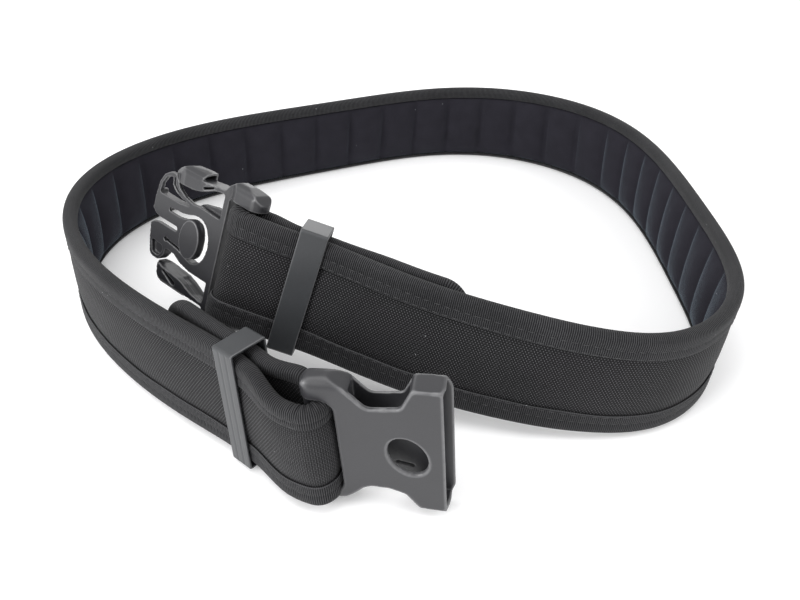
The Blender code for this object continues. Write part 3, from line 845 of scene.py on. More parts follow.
class Piece:
    """Turns a bmesh into a finished object that rides on the belt."""

    @staticmethod
    def finish(
        name: str,
        bm: bmesh.types.BMesh,
        material: bpy.types.Material,
        slot: str,
        nodes: Iterable[str] = (),
        edges: bool = False,
    ) -> bpy.types.Object:
        """Make the object.

        Args:
            name: the piece's name.
            bm: its mesh, which is freed.
            material: its finish.
            slot: the record's material slot; not used.
            nodes: the CAD nodes that it stands for.
            edges: whether to mark the outward edges for the finish's painted highlight.

        Returns:
            The object.
        """
        for face in bm.faces:
            face.smooth = True
        obj = put_mesh(name, bm)
        obj.data.materials.append(material)
        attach(obj, "root")
        if nodes:
            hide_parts(*nodes)
        if edges:
            Piece.mark_edges(obj.data)
        LOG.info("%s: %d faces", name, len(obj.data.polygons))
        return obj

    @staticmethod
    def mark_edges(mesh: bpy.types.Mesh, reach: float = 0.16 * MM) -> None:
        """Store how sharply the surface turns outwards at each vertex, 0 to 1, for the painted edge
        highlight.

        Args:
            mesh: the mesh.
            reach: how far the middle of the neighbours lies below an edge that counts in full.
        """
        count = len(mesh.vertices)
        places, normals = np.empty(count * 3), np.empty(count * 3)
        mesh.vertices.foreach_get("co", places)
        mesh.vertices.foreach_get("normal", normals)
        places, normals = places.reshape(-1, 3), normals.reshape(-1, 3)
        pairs = np.empty(len(mesh.edges) * 2, int)
        mesh.edges.foreach_get("vertices", pairs)
        first, second = pairs.reshape(-1, 2).T
        degree = np.maximum(np.bincount(pairs, minlength=count), 1)[:, None]

        def spread(values: np.ndarray) -> np.ndarray:
            """Middle of each vertex's neighbours."""
            out = np.zeros_like(values)
            np.add.at(out, first, values[second])
            np.add.at(out, second, values[first])
            return out / degree

        far = places
        for _ in range(4):
            far = spread(far)
        turn = ((places - far) * normals).sum(1, keepdims=True) / reach
        turn = 0.5 * turn + 0.5 * spread(turn)
        layer = mesh.attributes.new("edge", "FLOAT", "POINT")
        layer.data.foreach_set("value", np.clip(turn[:, 0], 0, 1).astype(np.float32))

    @staticmethod
    def wrapped(b: np.ndarray, near: np.ndarray, far: np.ndarray) -> tuple[np.ndarray, np.ndarray]:
        """Closed sections that run across the web on one level and come back on another.

        Args:
            b: distances from the middle line, a row for each section.
            near: the level at each of them on the way there.
            far: the level on the way back.

        Returns:
            Distance from the middle line and level, round each section.
        """
        across = np.concatenate([b, b[:, -2:0:-1], b[:, :1]], 1)
        return across, np.concatenate([near, far[:, -2:0:-1], near[:, :1]], 1)

    @staticmethod
    def strip(
        places: np.ndarray, cloth: np.ndarray, round_rows: bool, round_columns: bool
    ) -> bmesh.types.BMesh:
        """A sheet laid through a table of places, closed on itself where asked.

        Args:
            places: rows by columns by 3, metres. A closed direction repeats its first place last.
            cloth: rows by columns by 2, the cloth's own coordinates, metres.
            round_rows: whether the last row meets the first.
            round_columns: whether the last column meets the first.

        Returns:
            The mesh, its seams merged, its open ends filled, its faces outwards.
        """
        rows, columns = places.shape[:2]
        bm = bmesh.new()
        bmesh.ops.create_grid(bm, x_segments=rows - 1, y_segments=columns - 1, size=1.0)
        uv = bm.loops.layers.uv.new("cloth")
        for vert in bm.verts:
            i = round((vert.co.x + 1) / 2 * (rows - 1))
            j = round((vert.co.y + 1) / 2 * (columns - 1))
            vert.co = places[i, j]
            for loop in vert.link_loops:
                loop[uv].uv = cloth[i, j]
        if round_rows or round_columns:
            bmesh.ops.remove_doubles(bm, verts=bm.verts, dist=2e-6)
        if round_columns and not round_rows:
            open_edges = [edge for edge in bm.edges if edge.is_boundary]
            bmesh.ops.holes_fill(bm, edges=open_edges, sides=0)
        bmesh.ops.recalc_face_normals(bm, faces=bm.faces)
        return bm


@dataclass
class PaddedWeb:
    """The padded web itself: woven face, foam inside, a gentle crown between the bindings."""

    route: WebRoute
    inset: float = 0.7
    pad: float = 1.9
    crown: float = 3.0
    edge_round: float = 1.4
    step: float = 2.2
    fold_step: float = 0.8
    columns: int = 30

    def face_height(self, b: np.ndarray, s: np.ndarray) -> np.ndarray:
        """Height of the woven face over the web's middle.

        Args:
            b: distance from the middle line.
            s: distance along.

        Returns:
            The height, mm.
        """
        rise = 1 - np.clip((np.abs(b) - 4.0) / 10.6, 0, 1) ** 2.0
        ripple = 0.10 * np.sin(s / 17.0) + 0.07 * np.sin(s / 6.3 + 1.3) * np.clip(np.abs(b) / 14, 0, 1)
        end = np.clip((self.route.from_end(s) - 11.0) / 4.0, 0, 1)
        return self.pad + (self.crown - self.pad - 0.1 + ripple) * rise * end

    def build(self, material: bpy.types.Material) -> bpy.types.Object:
        """Make the piece.

        Args:
            material: the woven face.

        Returns:
            The object.
        """
        route = self.route
        s = route.stations(self.inset, route.length - self.inset, self.step, self.fold_step)[:, None]
        half = route.half_width(s, self.inset)
        t = np.sin(np.linspace(-math.pi / 2, math.pi / 2, self.columns))[None]
        t = 0.45 * t + 0.55 * np.linspace(-1, 1, self.columns)[None]
        b = half * t
        edge = np.clip((half - np.abs(b)) / self.edge_round, 0, 1)
        tip = np.clip((route.from_end(s) - self.inset) / self.edge_round, 0, 1)
        thick = np.sqrt(1 - (1 - edge) ** 2) * np.sqrt(1 - (1 - tip) ** 2) * 0.98 + 0.02
        ring_b, ring_n = Piece.wrapped(b, self.face_height(b, s) * thick, -self.pad * thick)
        places = route.at(s, ring_b, ring_n)
        cloth = np.stack(np.broadcast_arrays(route.face_run(s), ring_b * MM), -1)
        bm = Piece.strip(places, cloth, False, True)
        obj = Piece.finish("padded_web", bm, material, "padded_nylon", ["web_body"])
        return obj


@dataclass
class EdgeBinding:
    """Ribbed tape folded over the web's whole edge, sewn down by two rows of stitches."""

    route: WebRoute
    outer_leg: float = 10.5
    inner_leg: float = 5.2
    inner_leg_low: float = 2.6
    reach: float = 3.1
    tape: float = 0.8
    step: float = 2.0
    fold_step: float = 0.4
    gather_depth: float = 0.42
    gather_pitch: float = 2.3
    # distance in from the edge, depth below the tape's highest level
    stitch_rows: Rows = ((6.2, 0.22), (9.7, 0.06))
    thread: tuple[float, float] = (0.34, 0.26)

    def section(self) -> tuple[np.ndarray, np.ndarray]:
        """The tape's section as distance in from the edge and distance out of the web's middle.

        Returns:
            The two columns, from the outer leg's free edge round to the inner leg's, and back.
        """
        reach, tape = self.reach, self.tape
        outer = [(self.outer_leg, reach - 0.45), (self.outer_leg - 0.3, reach - 0.12)]
        # the tape's face, which dips under the row of stitches nearer the edge
        dips = ((9.9, 0.12), (9.2, 0.03), (8.0, 0.0), (7.0, 0.08), (6.2, 0.30), (5.4, 0.06), (4.2, -0.05))
        outer += [(e, reach - dip) for e, dip in dips]
        for i in range(15):
            turn = math.pi / 2 - math.pi * i / 14
            squash = abs(math.cos(turn)) ** 0.9
            level = math.copysign(abs(math.sin(turn)) ** 0.85, math.sin(turn))
            outer.append((3.0 - 3.0 * squash, (reach + 0.02) * level))
        outer += [(self.inner_leg - 0.3, -reach + 0.1), (self.inner_leg, -reach + 0.4)]
        inner = [(self.inner_leg, -reach + tape), (tape + 0.8, -reach + 1.2)]
        inner += [(tape, 0.0), (tape + 0.8, reach - 1.2), (4.0, reach - tape), (self.outer_leg, reach - tape)]
        ring = np.array([*outer, *inner, outer[0]])
        return ring[:, 0], ring[:, 1]

    def edge_line(self) -> tuple[np.ndarray, np.ndarray]:
        """The web's outline, all the way round.

        Returns:
            Its places as distance along and distance across, and its inward directions.
        """
        route = self.route
        r, centre = route.end_radius, route.half - route.end_radius
        straight = route.stations(r, route.length - r, self.step, self.fold_step)
        rows: list[Row] = []
        # lower edge and far end, then back along the upper edge to the near end
        for end, sign in ((route.length, 1.0), (0.0, -1.0)):
            rows += [(s, -sign * route.half, 0.0, sign) for s in straight[:: int(sign)]]
            rows += self.corner(end - sign * r, -sign * centre, -90.0 * sign)
            rows += [(end, sign * b, -sign, 0.0) for b in np.linspace(-centre, centre, 13)]
            rows += self.corner(end - sign * r, sign * centre, 90.0 - 90.0 * sign)
        table = np.array([*rows, rows[0]])
        return table[:, :2], table[:, 2:]

    def corner(self, middle_s: float, middle_b: float, start: float) -> list[Row]:
        """A quarter turn of the web's outline.

        Args:
            middle_s: distance along of its centre.
            middle_b: distance across of its centre.
            start: the way from the centre to its first place, degrees.

        Returns:
            Place and inward direction of each of its places.
        """
        turns = [math.radians(start + 6 * (i + 0.5)) for i in range(15)]
        spokes = [(math.cos(turn), math.sin(turn)) for turn in turns]
        r = self.route.end_radius
        return [(middle_s + r * c, middle_b + r * n, -c, -n) for c, n in spokes]

    def build(self, material: bpy.types.Material) -> bpy.types.Object:
        """Make the piece.

        Args:
            material: the ribbed tape.

        Returns:
            The object.
        """
        places, inward = self.edge_line()
        e, n = self.section()
        run = length_along(places)
        wander = 0.16 * np.sin(run / 9.1) + 0.12 * np.sin(run / 4.3 + 0.7)
        # round the bars the upper edge's tape is gathered
        waves = np.sin(run * 2 * math.pi / self.gather_pitch + 1.6 * np.sin(run / 2.9))
        gather = self.gather_depth * (self.route.near_fold(places[:, 0], 5.0) * waves) * (places[:, 1] > 0)
        free = np.clip((np.abs(e) - 5.0) / 5.0, 0, 1)[None]
        in_from_edge = e[None] + wander[:, None] * free + gather[:, None] * np.clip(1 - e / 4.0, 0, 1)[None]
        low_edge = 1 - ease((places[:, 1:] + 12) / 24)
        inner = np.clip((e[None] - 2.0) / (self.inner_leg - 2.0), 0, 1) * (n[None] < 0)
        in_from_edge = in_from_edge - low_edge * inner * (self.inner_leg - self.inner_leg_low)
        out = n[None] + 0.3 * gather[:, None] * (n[None] > 0) * (1 - free)
        s = places[:, :1] + in_from_edge * inward[:, :1]
        b = places[:, 1:] + in_from_edge * inward[:, 1:]
        spots = self.route.at(s, b, out)
        section_run = np.concatenate([[0], np.cumsum(np.hypot(np.diff(e), np.diff(n)))])
        outer_run = length_along(spots[:, 8])
        cloth = np.stack(np.broadcast_arrays(outer_run[:, None], section_run[None] * MM), -1)
        bm = Piece.strip(spots, cloth, True, True)
        return Piece.finish("bound_edge", bm, material, "ribbed_tape", ["edge_binding"])

    def stitch(
        self, material: bpy.types.Material, pitch: float = 4.2, long: float = 2.9
    ) -> bpy.types.Object:
        """Sew the two rows on the belt's face.

        Args:
            material: the thread.
            pitch: from one stitch to the next, mm.
            long: length of a stitch, mm.

        Returns:
            The object.
        """
        bm = bmesh.new()
        rng = random.Random(7)
        places, inward = self.edge_line()
        run = length_along(places)
        bmesh.ops.create_uvsphere(bm, u_segments=6, v_segments=5, radius=0.5)
        bmesh.ops.scale(bm, vec=(*self.thread, 1.0), verts=bm.verts)
        ball = bpy.data.meshes.new("stitch")
        bm.to_mesh(ball)
        bm.clear()
        bm.from_mesh(settled(ball, 6))
        template = list(bm.verts)
        source = [*bm.verts, *bm.edges, *bm.faces]
        for row, depth in self.stitch_rows:
            height = self.reach - depth
            count = int(run[-1] / pitch)
            for k in range(count):
                at = (k + 0.5) * run[-1] / count + rng.uniform(-0.25, 0.25)
                tilt = rng.uniform(-0.12, 0.12)
                ends = []
                for shift, side in ((-0.5 * long, -tilt), (0.5 * long, tilt)):
                    here = [np.interp(at + shift, run, c) for c in (*places.T, *inward.T)]
                    s, b = here[0] + (row + side) * here[2], here[1] + (row + side) * here[3]
                    ends.append(self.route.at(np.array(s), np.array(b), np.array(height)))
                above = self.route.at(np.array(s), np.array(b), np.array(height + 1.0)) - ends[1]
                z = Vector(ends[1] - ends[0])
                x = Vector(above).normalized().cross(z.normalized()).normalized()
                y = z.normalized().cross(x)
                middle = Vector((ends[0] + ends[1]) / 2)
                turn = placing([c * MM for c in x], [c * MM for c in y], z, middle)
                copied = bmesh.ops.duplicate(bm, geom=source)["geom"]
                verts = [g for g in copied if isinstance(g, bmesh.types.BMVert)]
                bmesh.ops.transform(bm, matrix=turn, verts=verts)
        bmesh.ops.delete(bm, geom=template, context="VERTS")
        return Piece.finish("edge_stitches", bm, material, "ribbed_tape")


@dataclass
class QuiltedLining:
    """Pile lining, gathered by upright creases into pillows. Each run is from, to and number of pillows."""

    route: WebRoute
    runs: Rows = ((112.0, 287.0, 9), (287.0, 397.0, 6), (397.0, 706.0, 14), (706.0, 860.0, 8))
    low: float = -22.2
    high: float = 19.6
    thin: float = 0.5
    full: float = 4.0
    base: float = -1.7
    skin: float = 0.05
    steps: int = 14
    columns: int = 30

    def build(self, material: bpy.types.Material) -> bpy.types.Object:
        """Make the piece.

        Args:
            material: the pile.

        Returns:
            The object.
        """
        rng = random.Random(3)
        rows: list[Row] = []
        for low, high, pillows in self.runs:
            for k in range(int(pillows)):
                plump = rng.uniform(0.86, 1.06)
                parts = [i / self.steps for i in range(self.steps)]
                rows += [(low + (high - low) * (k + part) / pillows, part, plump) for part in parts]
        rows.append((self.runs[-1][1], 0.0, 1.0))
        s, phase, swell = (column[:, None] for column in np.array(rows).T)
        t = np.linspace(-1, 1, self.columns)[None]
        t = 0.6 * np.sin(t * math.pi / 2) + 0.4 * t
        near = 1 - np.abs(2 * phase - 1)
        arch = (1 - (1 - near) ** 2.6) ** 0.8
        taper = np.sqrt(np.clip(1 - np.abs(t) ** 6, 0, 1))
        belly = 0.45 + 0.55 * (1 - np.abs(t) ** 2.2)
        height = (self.thin + (self.full - self.thin) * swell * arch * belly) * taper + self.skin
        b = np.broadcast_to((self.low + self.high) / 2 + (self.high - self.low) / 2 * t, height.shape)
        ring_b, ring_n = Piece.wrapped(b, self.base - height, np.full_like(b, self.base))
        places = self.route.at(self.route.main_start + s, ring_b, ring_n)
        cloth = np.stack(np.broadcast_arrays(s * MM, ring_b * MM), -1)
        bm = Piece.strip(places, cloth, False, True)
        obj = Piece.finish("quilted_lining", bm, material, "pile_lining", ["lining"])
        return obj


# Moulded pieces

FAR = 40.0  # half the length of a shape that reaches right across a buckle half, mm
UNDER = -9.0  # a level behind the blade, mm
OVER = 3.0  # a level in front of it, mm


class Mould:
    """A moulded shape in a buckle half's own millimetres, built from outlines."""

    def __init__(self, outline: Sequence[Row], low: float, high: float, plane: Plane = Plane.FACE) -> None:
        """Extrude an outline.

        Args:
            outline: its corners.
            low: first level on the third axis.
            high: last level.
            plane: the plane it is drawn in.
        """
        bm = bmesh.new()
        order = plane.value
        ring = []
        for u, v in outline:
            place = [0.0, 0.0, 0.0]
            place[order[0]], place[order[1]], place[order[2]] = u, v, low
            ring.append(bm.verts.new(place))
        face = bm.faces.new(ring)
        grown = bmesh.ops.extrude_face_region(bm, geom=[face])["geom"]
        shift = [0.0, 0.0, 0.0]
        shift[order[2]] = high - low
        bmesh.ops.translate(bm, vec=shift, verts=[g for g in grown if isinstance(g, bmesh.types.BMVert)])
        bmesh.ops.recalc_face_normals(bm, faces=bm.faces)
        self.obj = put_mesh("shape", bm)

    def with_(self, how: Cut, *others: "Mould") -> "Mould":
        """Add, take away or keep the common part of other shapes.

        Args:
            how: which of the three.
            others: the shapes, which are used up.

        Returns:
            This shape.
        """
        for other in others:
            step = self.obj.modifiers.new("step", "BOOLEAN")
            step.operation = how.value
            step.solver = "EXACT"
            step.object = other.obj
            self.apply()
            self.obj.data = settled(self.obj.data, 5)
            bpy.data.objects.remove(other.obj, do_unlink=True)
        return self

    def apply(self) -> None:
        """Make the modifiers part of the mesh."""
        bpy.context.view_layer.update()
        graph = bpy.context.evaluated_depsgraph_get()
        mesh = bpy.data.meshes.new_from_object(self.obj.evaluated_get(graph))
        self.obj.modifiers.clear()
        self.obj.data = mesh

    def soften(self, grain: float, passes: int) -> "Mould":
        """Round every edge as a mould does.

        Args:
            grain: size of the new mesh's faces, mm.
            passes: how many times it is smoothed.

        Returns:
            This shape.
        """
        skin = self.obj.modifiers.new("skin", "REMESH")
        skin.mode = "VOXEL"
        skin.voxel_size = grain
        return self.calm(passes)

    def melt(self, start: float, full: float, passes: int) -> "Mould":
        """Round one end more than the rest.

        Args:
            start: where along the half it begins.
            full: from where on it acts in full.
            passes: how many times the end is smoothed.

        Returns:
            This shape.
        """
        group = self.obj.vertex_groups.new(name="end")
        for vert in self.obj.data.vertices:
            share = (vert.co.x - start) / (full - start)
            if share > 0:
                group.add([vert.index], min(1.0, share), "REPLACE")
        return self.calm(passes, "end")

    def calm(self, passes: int, group: str = "") -> "Mould":
        """Smooth the surface.

        Args:
            passes: how many times.
            group: the vertex group that it holds for, all if empty.

        Returns:
            This shape.
        """
        step = self.obj.modifiers.new("calm", "SMOOTH")
        step.factor = 0.5
        step.iterations = passes
        step.vertex_group = group
        self.apply()
        return self

    def placed(
        self, matrix: Matrix, name: str, node: str, material: bpy.types.Material
    ) -> bpy.types.Object:
        """Put the finished buckle half on the belt.

        Args:
            matrix: from the shape's millimetres to the belt's metres.
            name: the piece's name.
            node: the CAD node that it stands for.
            material: its finish.

        Returns:
            The object.
        """
        bm = bmesh.new()
        bm.from_mesh(self.obj.data)
        bmesh.ops.transform(bm, matrix=matrix, verts=bm.verts)
        bmesh.ops.recalc_face_normals(bm, faces=bm.faces)
        bpy.data.objects.remove(self.obj, do_unlink=True)
        return Piece.finish(name, bm, material, "buckle_plastic", [node], edges=True)


def round_corners(corners: Sequence[Row], steps: int = 9) -> list[Row]:
    """An outline from rows of u, v and corner radius.

    Args:
        corners: the rows.
        steps: sides to a corner.

    Returns:
        The outline.
    """
    line: list[Row] = []
    count = len(corners)
    for i, (u, v, radius) in enumerate(corners):
        here = np.array([u, v])
        if radius == 0:
            line.append((u, v))
            continue
        back = unit(np.array(corners[i - 1][:2]) - here)
        ahead = unit(np.array(corners[(i + 1) % count][:2]) - here)
        half = math.acos(max(-1.0, min(1.0, float(back @ ahead)))) / 2
        reach = radius / math.tan(half)
        centre = here + unit(back + ahead) * radius / math.sin(half)
        start, end = here + back * reach - centre, here + ahead * reach - centre
        for k in range(steps + 1):
            spoke = start * (steps - k) / steps + end * k / steps
            line.append(tuple(centre + unit(spoke) * radius))
    return line


def sided(rows: Iterable[Row], side: int) -> list[Row]:
    """Rows drawn for the upper side, turned over where side is -1."""
    return [(u, side * v, *rest) for u, v, *rest in rows]


def mirrored(upper: Sequence[Row]) -> list[Row]:
    """A whole outline from its upper half, listed from right to left."""
    return list(upper) + sided(reversed(upper), -1)


def oval(a: float, b: float, along: float, across: float, turn: float = 0.0, steps: int = 72) -> list[Row]:
    """An ellipse about a, b with two half sizes, the first one turned from the u direction, degrees."""
    c, s = math.cos(math.radians(turn)), math.sin(math.radians(turn))
    turns = [2 * math.pi * i / steps for i in range(steps)]
    spokes = [(along * math.cos(t), across * math.sin(t)) for t in turns]
    return [(a + u * c - v * s, b + u * s + v * c) for u, v in spokes]


def rounded_box(
    top: float, foot: float, front: float, back: float, radius: float, steps: int = 9
) -> list[Row]:
    """A cross section with four round corners."""
    corners = ((top, front, radius), (top, back, radius), (foot, back, radius), (foot, front, radius))
    return round_corners(corners, steps)


def cut_corners(line: Sequence[Row]) -> list[Row]:
    """An open line with its corners cut three times over."""
    places = np.array(line)
    for _ in range(3):
        near = 0.75 * places[:-1] + 0.25 * places[1:]
        far = 0.25 * places[:-1] + 0.75 * places[1:]
        places = np.concatenate([places[:1], np.stack([near, far], 1).reshape(-1, 2), places[-1:]])
    return [tuple(place) for place in places]


def rod(a: float, out: float, radius: float, half: float = 27.0) -> Mould:
    """The bar across a buckle half."""
    return Mould(oval(a, out, radius, radius, steps=40), -half, half, Plane.LENGTHWISE)


@dataclass
class SocketHalf:
    """Hollow buckle half: two plates with cut-away sides, a mouth, and ears that hold the bar.

    Rows are along the half, across it and, where corners are round, their radius. A section's row is its
    upper and lower edge, its corner radius, and from where to where along the half it holds.
    """

    route: WebRoute
    depth: float = 10.0
    wall: float = 2.0
    back_wall: float = 1.2
    bar: float = -46.2
    bar_radius: float = 2.1
    hole: Row = (-12.7, -2.2, 9.05, 6.4)
    hole_turn: float = -64.0
    hole_rim: float = 0.6
    grain: float = 0.42
    ears: Row = (-31.5, -37.0)
    ear_passes: int = 34
    outline: Rows = (
        (2.8, 24.5, 7.0), (0.6, 28.0, 1.5), (-10.0, 28.4, 1.5), (-14.2, 20.1, 2.5), (-25.6, 19.2, 4.0),
        (-32.6, 27.4, 5.0), (-38.5, 30.6, 6.0), (-48.6, 30.0, 5.0), (-48.6, 21.6, 0.0),
        (-37.2, 21.6, 5.0), (-37.2, -23.4, 6.0), (-48.6, -23.4, 0.0), (-48.6, -27.8, 3.9),
        (-38.6, -27.8, 6.0), (-28.2, -18.2, 6.0), (-20.5, -18.8, 5.0), (-14.6, -21.2, 3.0),
        (-9.8, -28.3, 2.5), (0.6, -29.4, 1.5), (2.8, -24.5, 7.0),
    )
    sections: Rows = ((28.6, -29.6, 1.2, -29.0, 10.0), (30.7, -27.9, 4.9, -60.0, -28.0))
    hollow: Rows = ((5.0, 26.6), (-31.6, 26.0), (-31.6, 17.5), (-34.2, 17.5))
    mouth: Rows = ((5.0, 26.9), (-1.6, 26.9), (-2.6, 26.4))
    mouth_wall: float = 1.1
    mouth_back_wall: float = 1.0
    slit_floor: float = 0.35
    slit: Rows = ((-18.8, -14.1, 0.4), (-12.0, -16.0, 0.4), (-12.0, -14.9, 0.4), (-18.8, -13.0, 0.4))

    def build(self, material: bpy.types.Material) -> bpy.types.Object:
        """Make the piece.

        Args:
            material: the buckle plastic.

        Returns:
            The object.
        """
        depth = self.depth
        shell = Mould(round_corners(self.outline), -depth, 0.0)
        front_part, ear_part = (
            Mould(rounded_box(top, foot, 0.0, -depth, radius), low, high, Plane.ACROSS)
            for top, foot, radius, low, high in self.sections
        )
        section = front_part.with_(Cut.ADD, ear_part)
        # the side profile stays 0.02 inside the outline's own faces, since a cut fails on shared ones
        side = Mould(round_corners((
            (0.0, -0.02, 0.5), (2.78, 1.2 - depth, 0.3), (2.78, 0.02 - depth, 0.4),
            (-48.55, 0.02 - depth, 4.8), (-48.55, -0.02, 4.8),
        )), -FAR, FAR, Plane.LENGTHWISE)
        shell.with_(Cut.KEEP, section, side)
        a, b, along, across = self.hole
        rim = self.hole_rim
        shell.with_(
            Cut.TAKE,
            Mould(mirrored(self.hollow), self.back_wall - depth, -self.wall),
            Mould(mirrored(self.mouth), self.mouth_back_wall - depth, -self.mouth_wall),
            Mould(oval(a, b, along, across, self.hole_turn), -depth / 2, 1.0),
            Mould(oval(a, b, along + rim, across + rim, self.hole_turn), -rim, 1.0),
            Mould(round_corners(self.slit), self.slit_floor - depth, 3.0 - depth),
        )
        shell.with_(Cut.ADD, rod(self.bar, -depth / 2, self.bar_radius))
        shell.soften(self.grain, 3).melt(*self.ears, self.ear_passes)
        matrix = self.route.socket.matrix(np.array(self.route.origin))
        return shell.placed(matrix, "socket_half", "buckle_socket", material)


@dataclass
class SpringArm:
    """A spring arm of the plug with its hollow press tab.

    Rows are along the plug, across it (outwards) and, where corners are round, their radius. The roof
    and the room under it are drawn across the arm: distance outwards and level.
    """

    side: int
    tip: float
    channel: Rows
    eye: Rows
    eye_floor: float
    leaf: Rows = (
        (13.0, 25.3, 0.0), (17.0, 25.3, 3.0), (21.0, 24.4, 3.0), (26.6, 21.9, 3.0), (31.0, 20.7, 3.0),
        (38.6, 20.2, 3.0), (44.0, 19.8, 2.0), (48.6, 20.4, 0.8), (44.5, 24.6, 2.0), (39.0, 26.1, 4.0),
        (28.0, 26.3, 6.0), (22.0, 27.0, 5.0), (13.0, 27.2, 0.0),
    )
    hood: Rows = (
        (27.8, 24.2, 0.5), (31.2, 20.9, 1.2), (44.0, 19.8, 1.0), (49.6, 20.4, 0.8), (49.0, 22.8, 1.5),
        (45.0, 25.8, 5.0), (39.5, 28.8, 6.0), (31.0, 29.5, 5.0), (27.8, 29.4, 0.5),
    )
    roof: Rows = (
        (19.0, 1.2), (25.6, 1.2), (27.4, 0.4), (28.7, -1.6), (29.4, -4.4), (29.5, -7.5), (19.0, -7.5),
    )
    room: Rows = ((26.4, 0.1), (26.9, 0.0), (27.7, -1.9), (28.3, -4.5), (28.4, -6.5), (26.4, -6.5))
    leaf_levels: Row = (-7.2, 1.1)
    hood_levels: Row = (-7.5, 1.2)
    channel_levels: Row = (-5.6, -2.2)
    room_span: Row = (20.0, 43.0)

    def across(self, rows: Sequence[Row], low: float, high: float) -> Mould:
        """A shape drawn across the arm, between two places along it."""
        return Mould([(self.side * b, out) for b, out in rows], low, high, Plane.ACROSS)

    def build(self) -> Mould:
        """Make the arm.

        Returns:
            The shape.
        """
        tip = self.tip
        leaf = Mould(round_corners(sided(self.leaf, self.side), 6), *self.leaf_levels)
        leaf.with_(Cut.KEEP, Mould([
            (10.0, -8.0), (10.0, 0.1), (19.0, 0.1), (25.5, 1.1), (tip, 1.1), (tip + 4.0, 0.0),
            (50.0, -4.0), (50.0, -8.0),
        ], -FAR, FAR, Plane.LENGTHWISE))
        leaf.with_(Cut.TAKE, Mould(sided(self.channel, self.side), *self.channel_levels))
        hood = Mould(round_corners(sided(self.hood, self.side), 6), *self.hood_levels)
        hood.with_(Cut.KEEP, self.across(self.roof, 15.0, 60.0), Mould([
            (20.0, 1.2), (tip, 1.2), (tip + 3.6, 0.0), (51.0, -4.8), (51.0, -7.5), (20.0, -7.5),
        ], -FAR, FAR, Plane.LENGTHWISE))
        hood.with_(Cut.TAKE, self.across(self.room, *self.room_span))
        hood.with_(Cut.ADD, leaf)
        return hood.with_(Cut.TAKE, Mould(sided(self.eye, self.side), self.eye_floor, OVER))


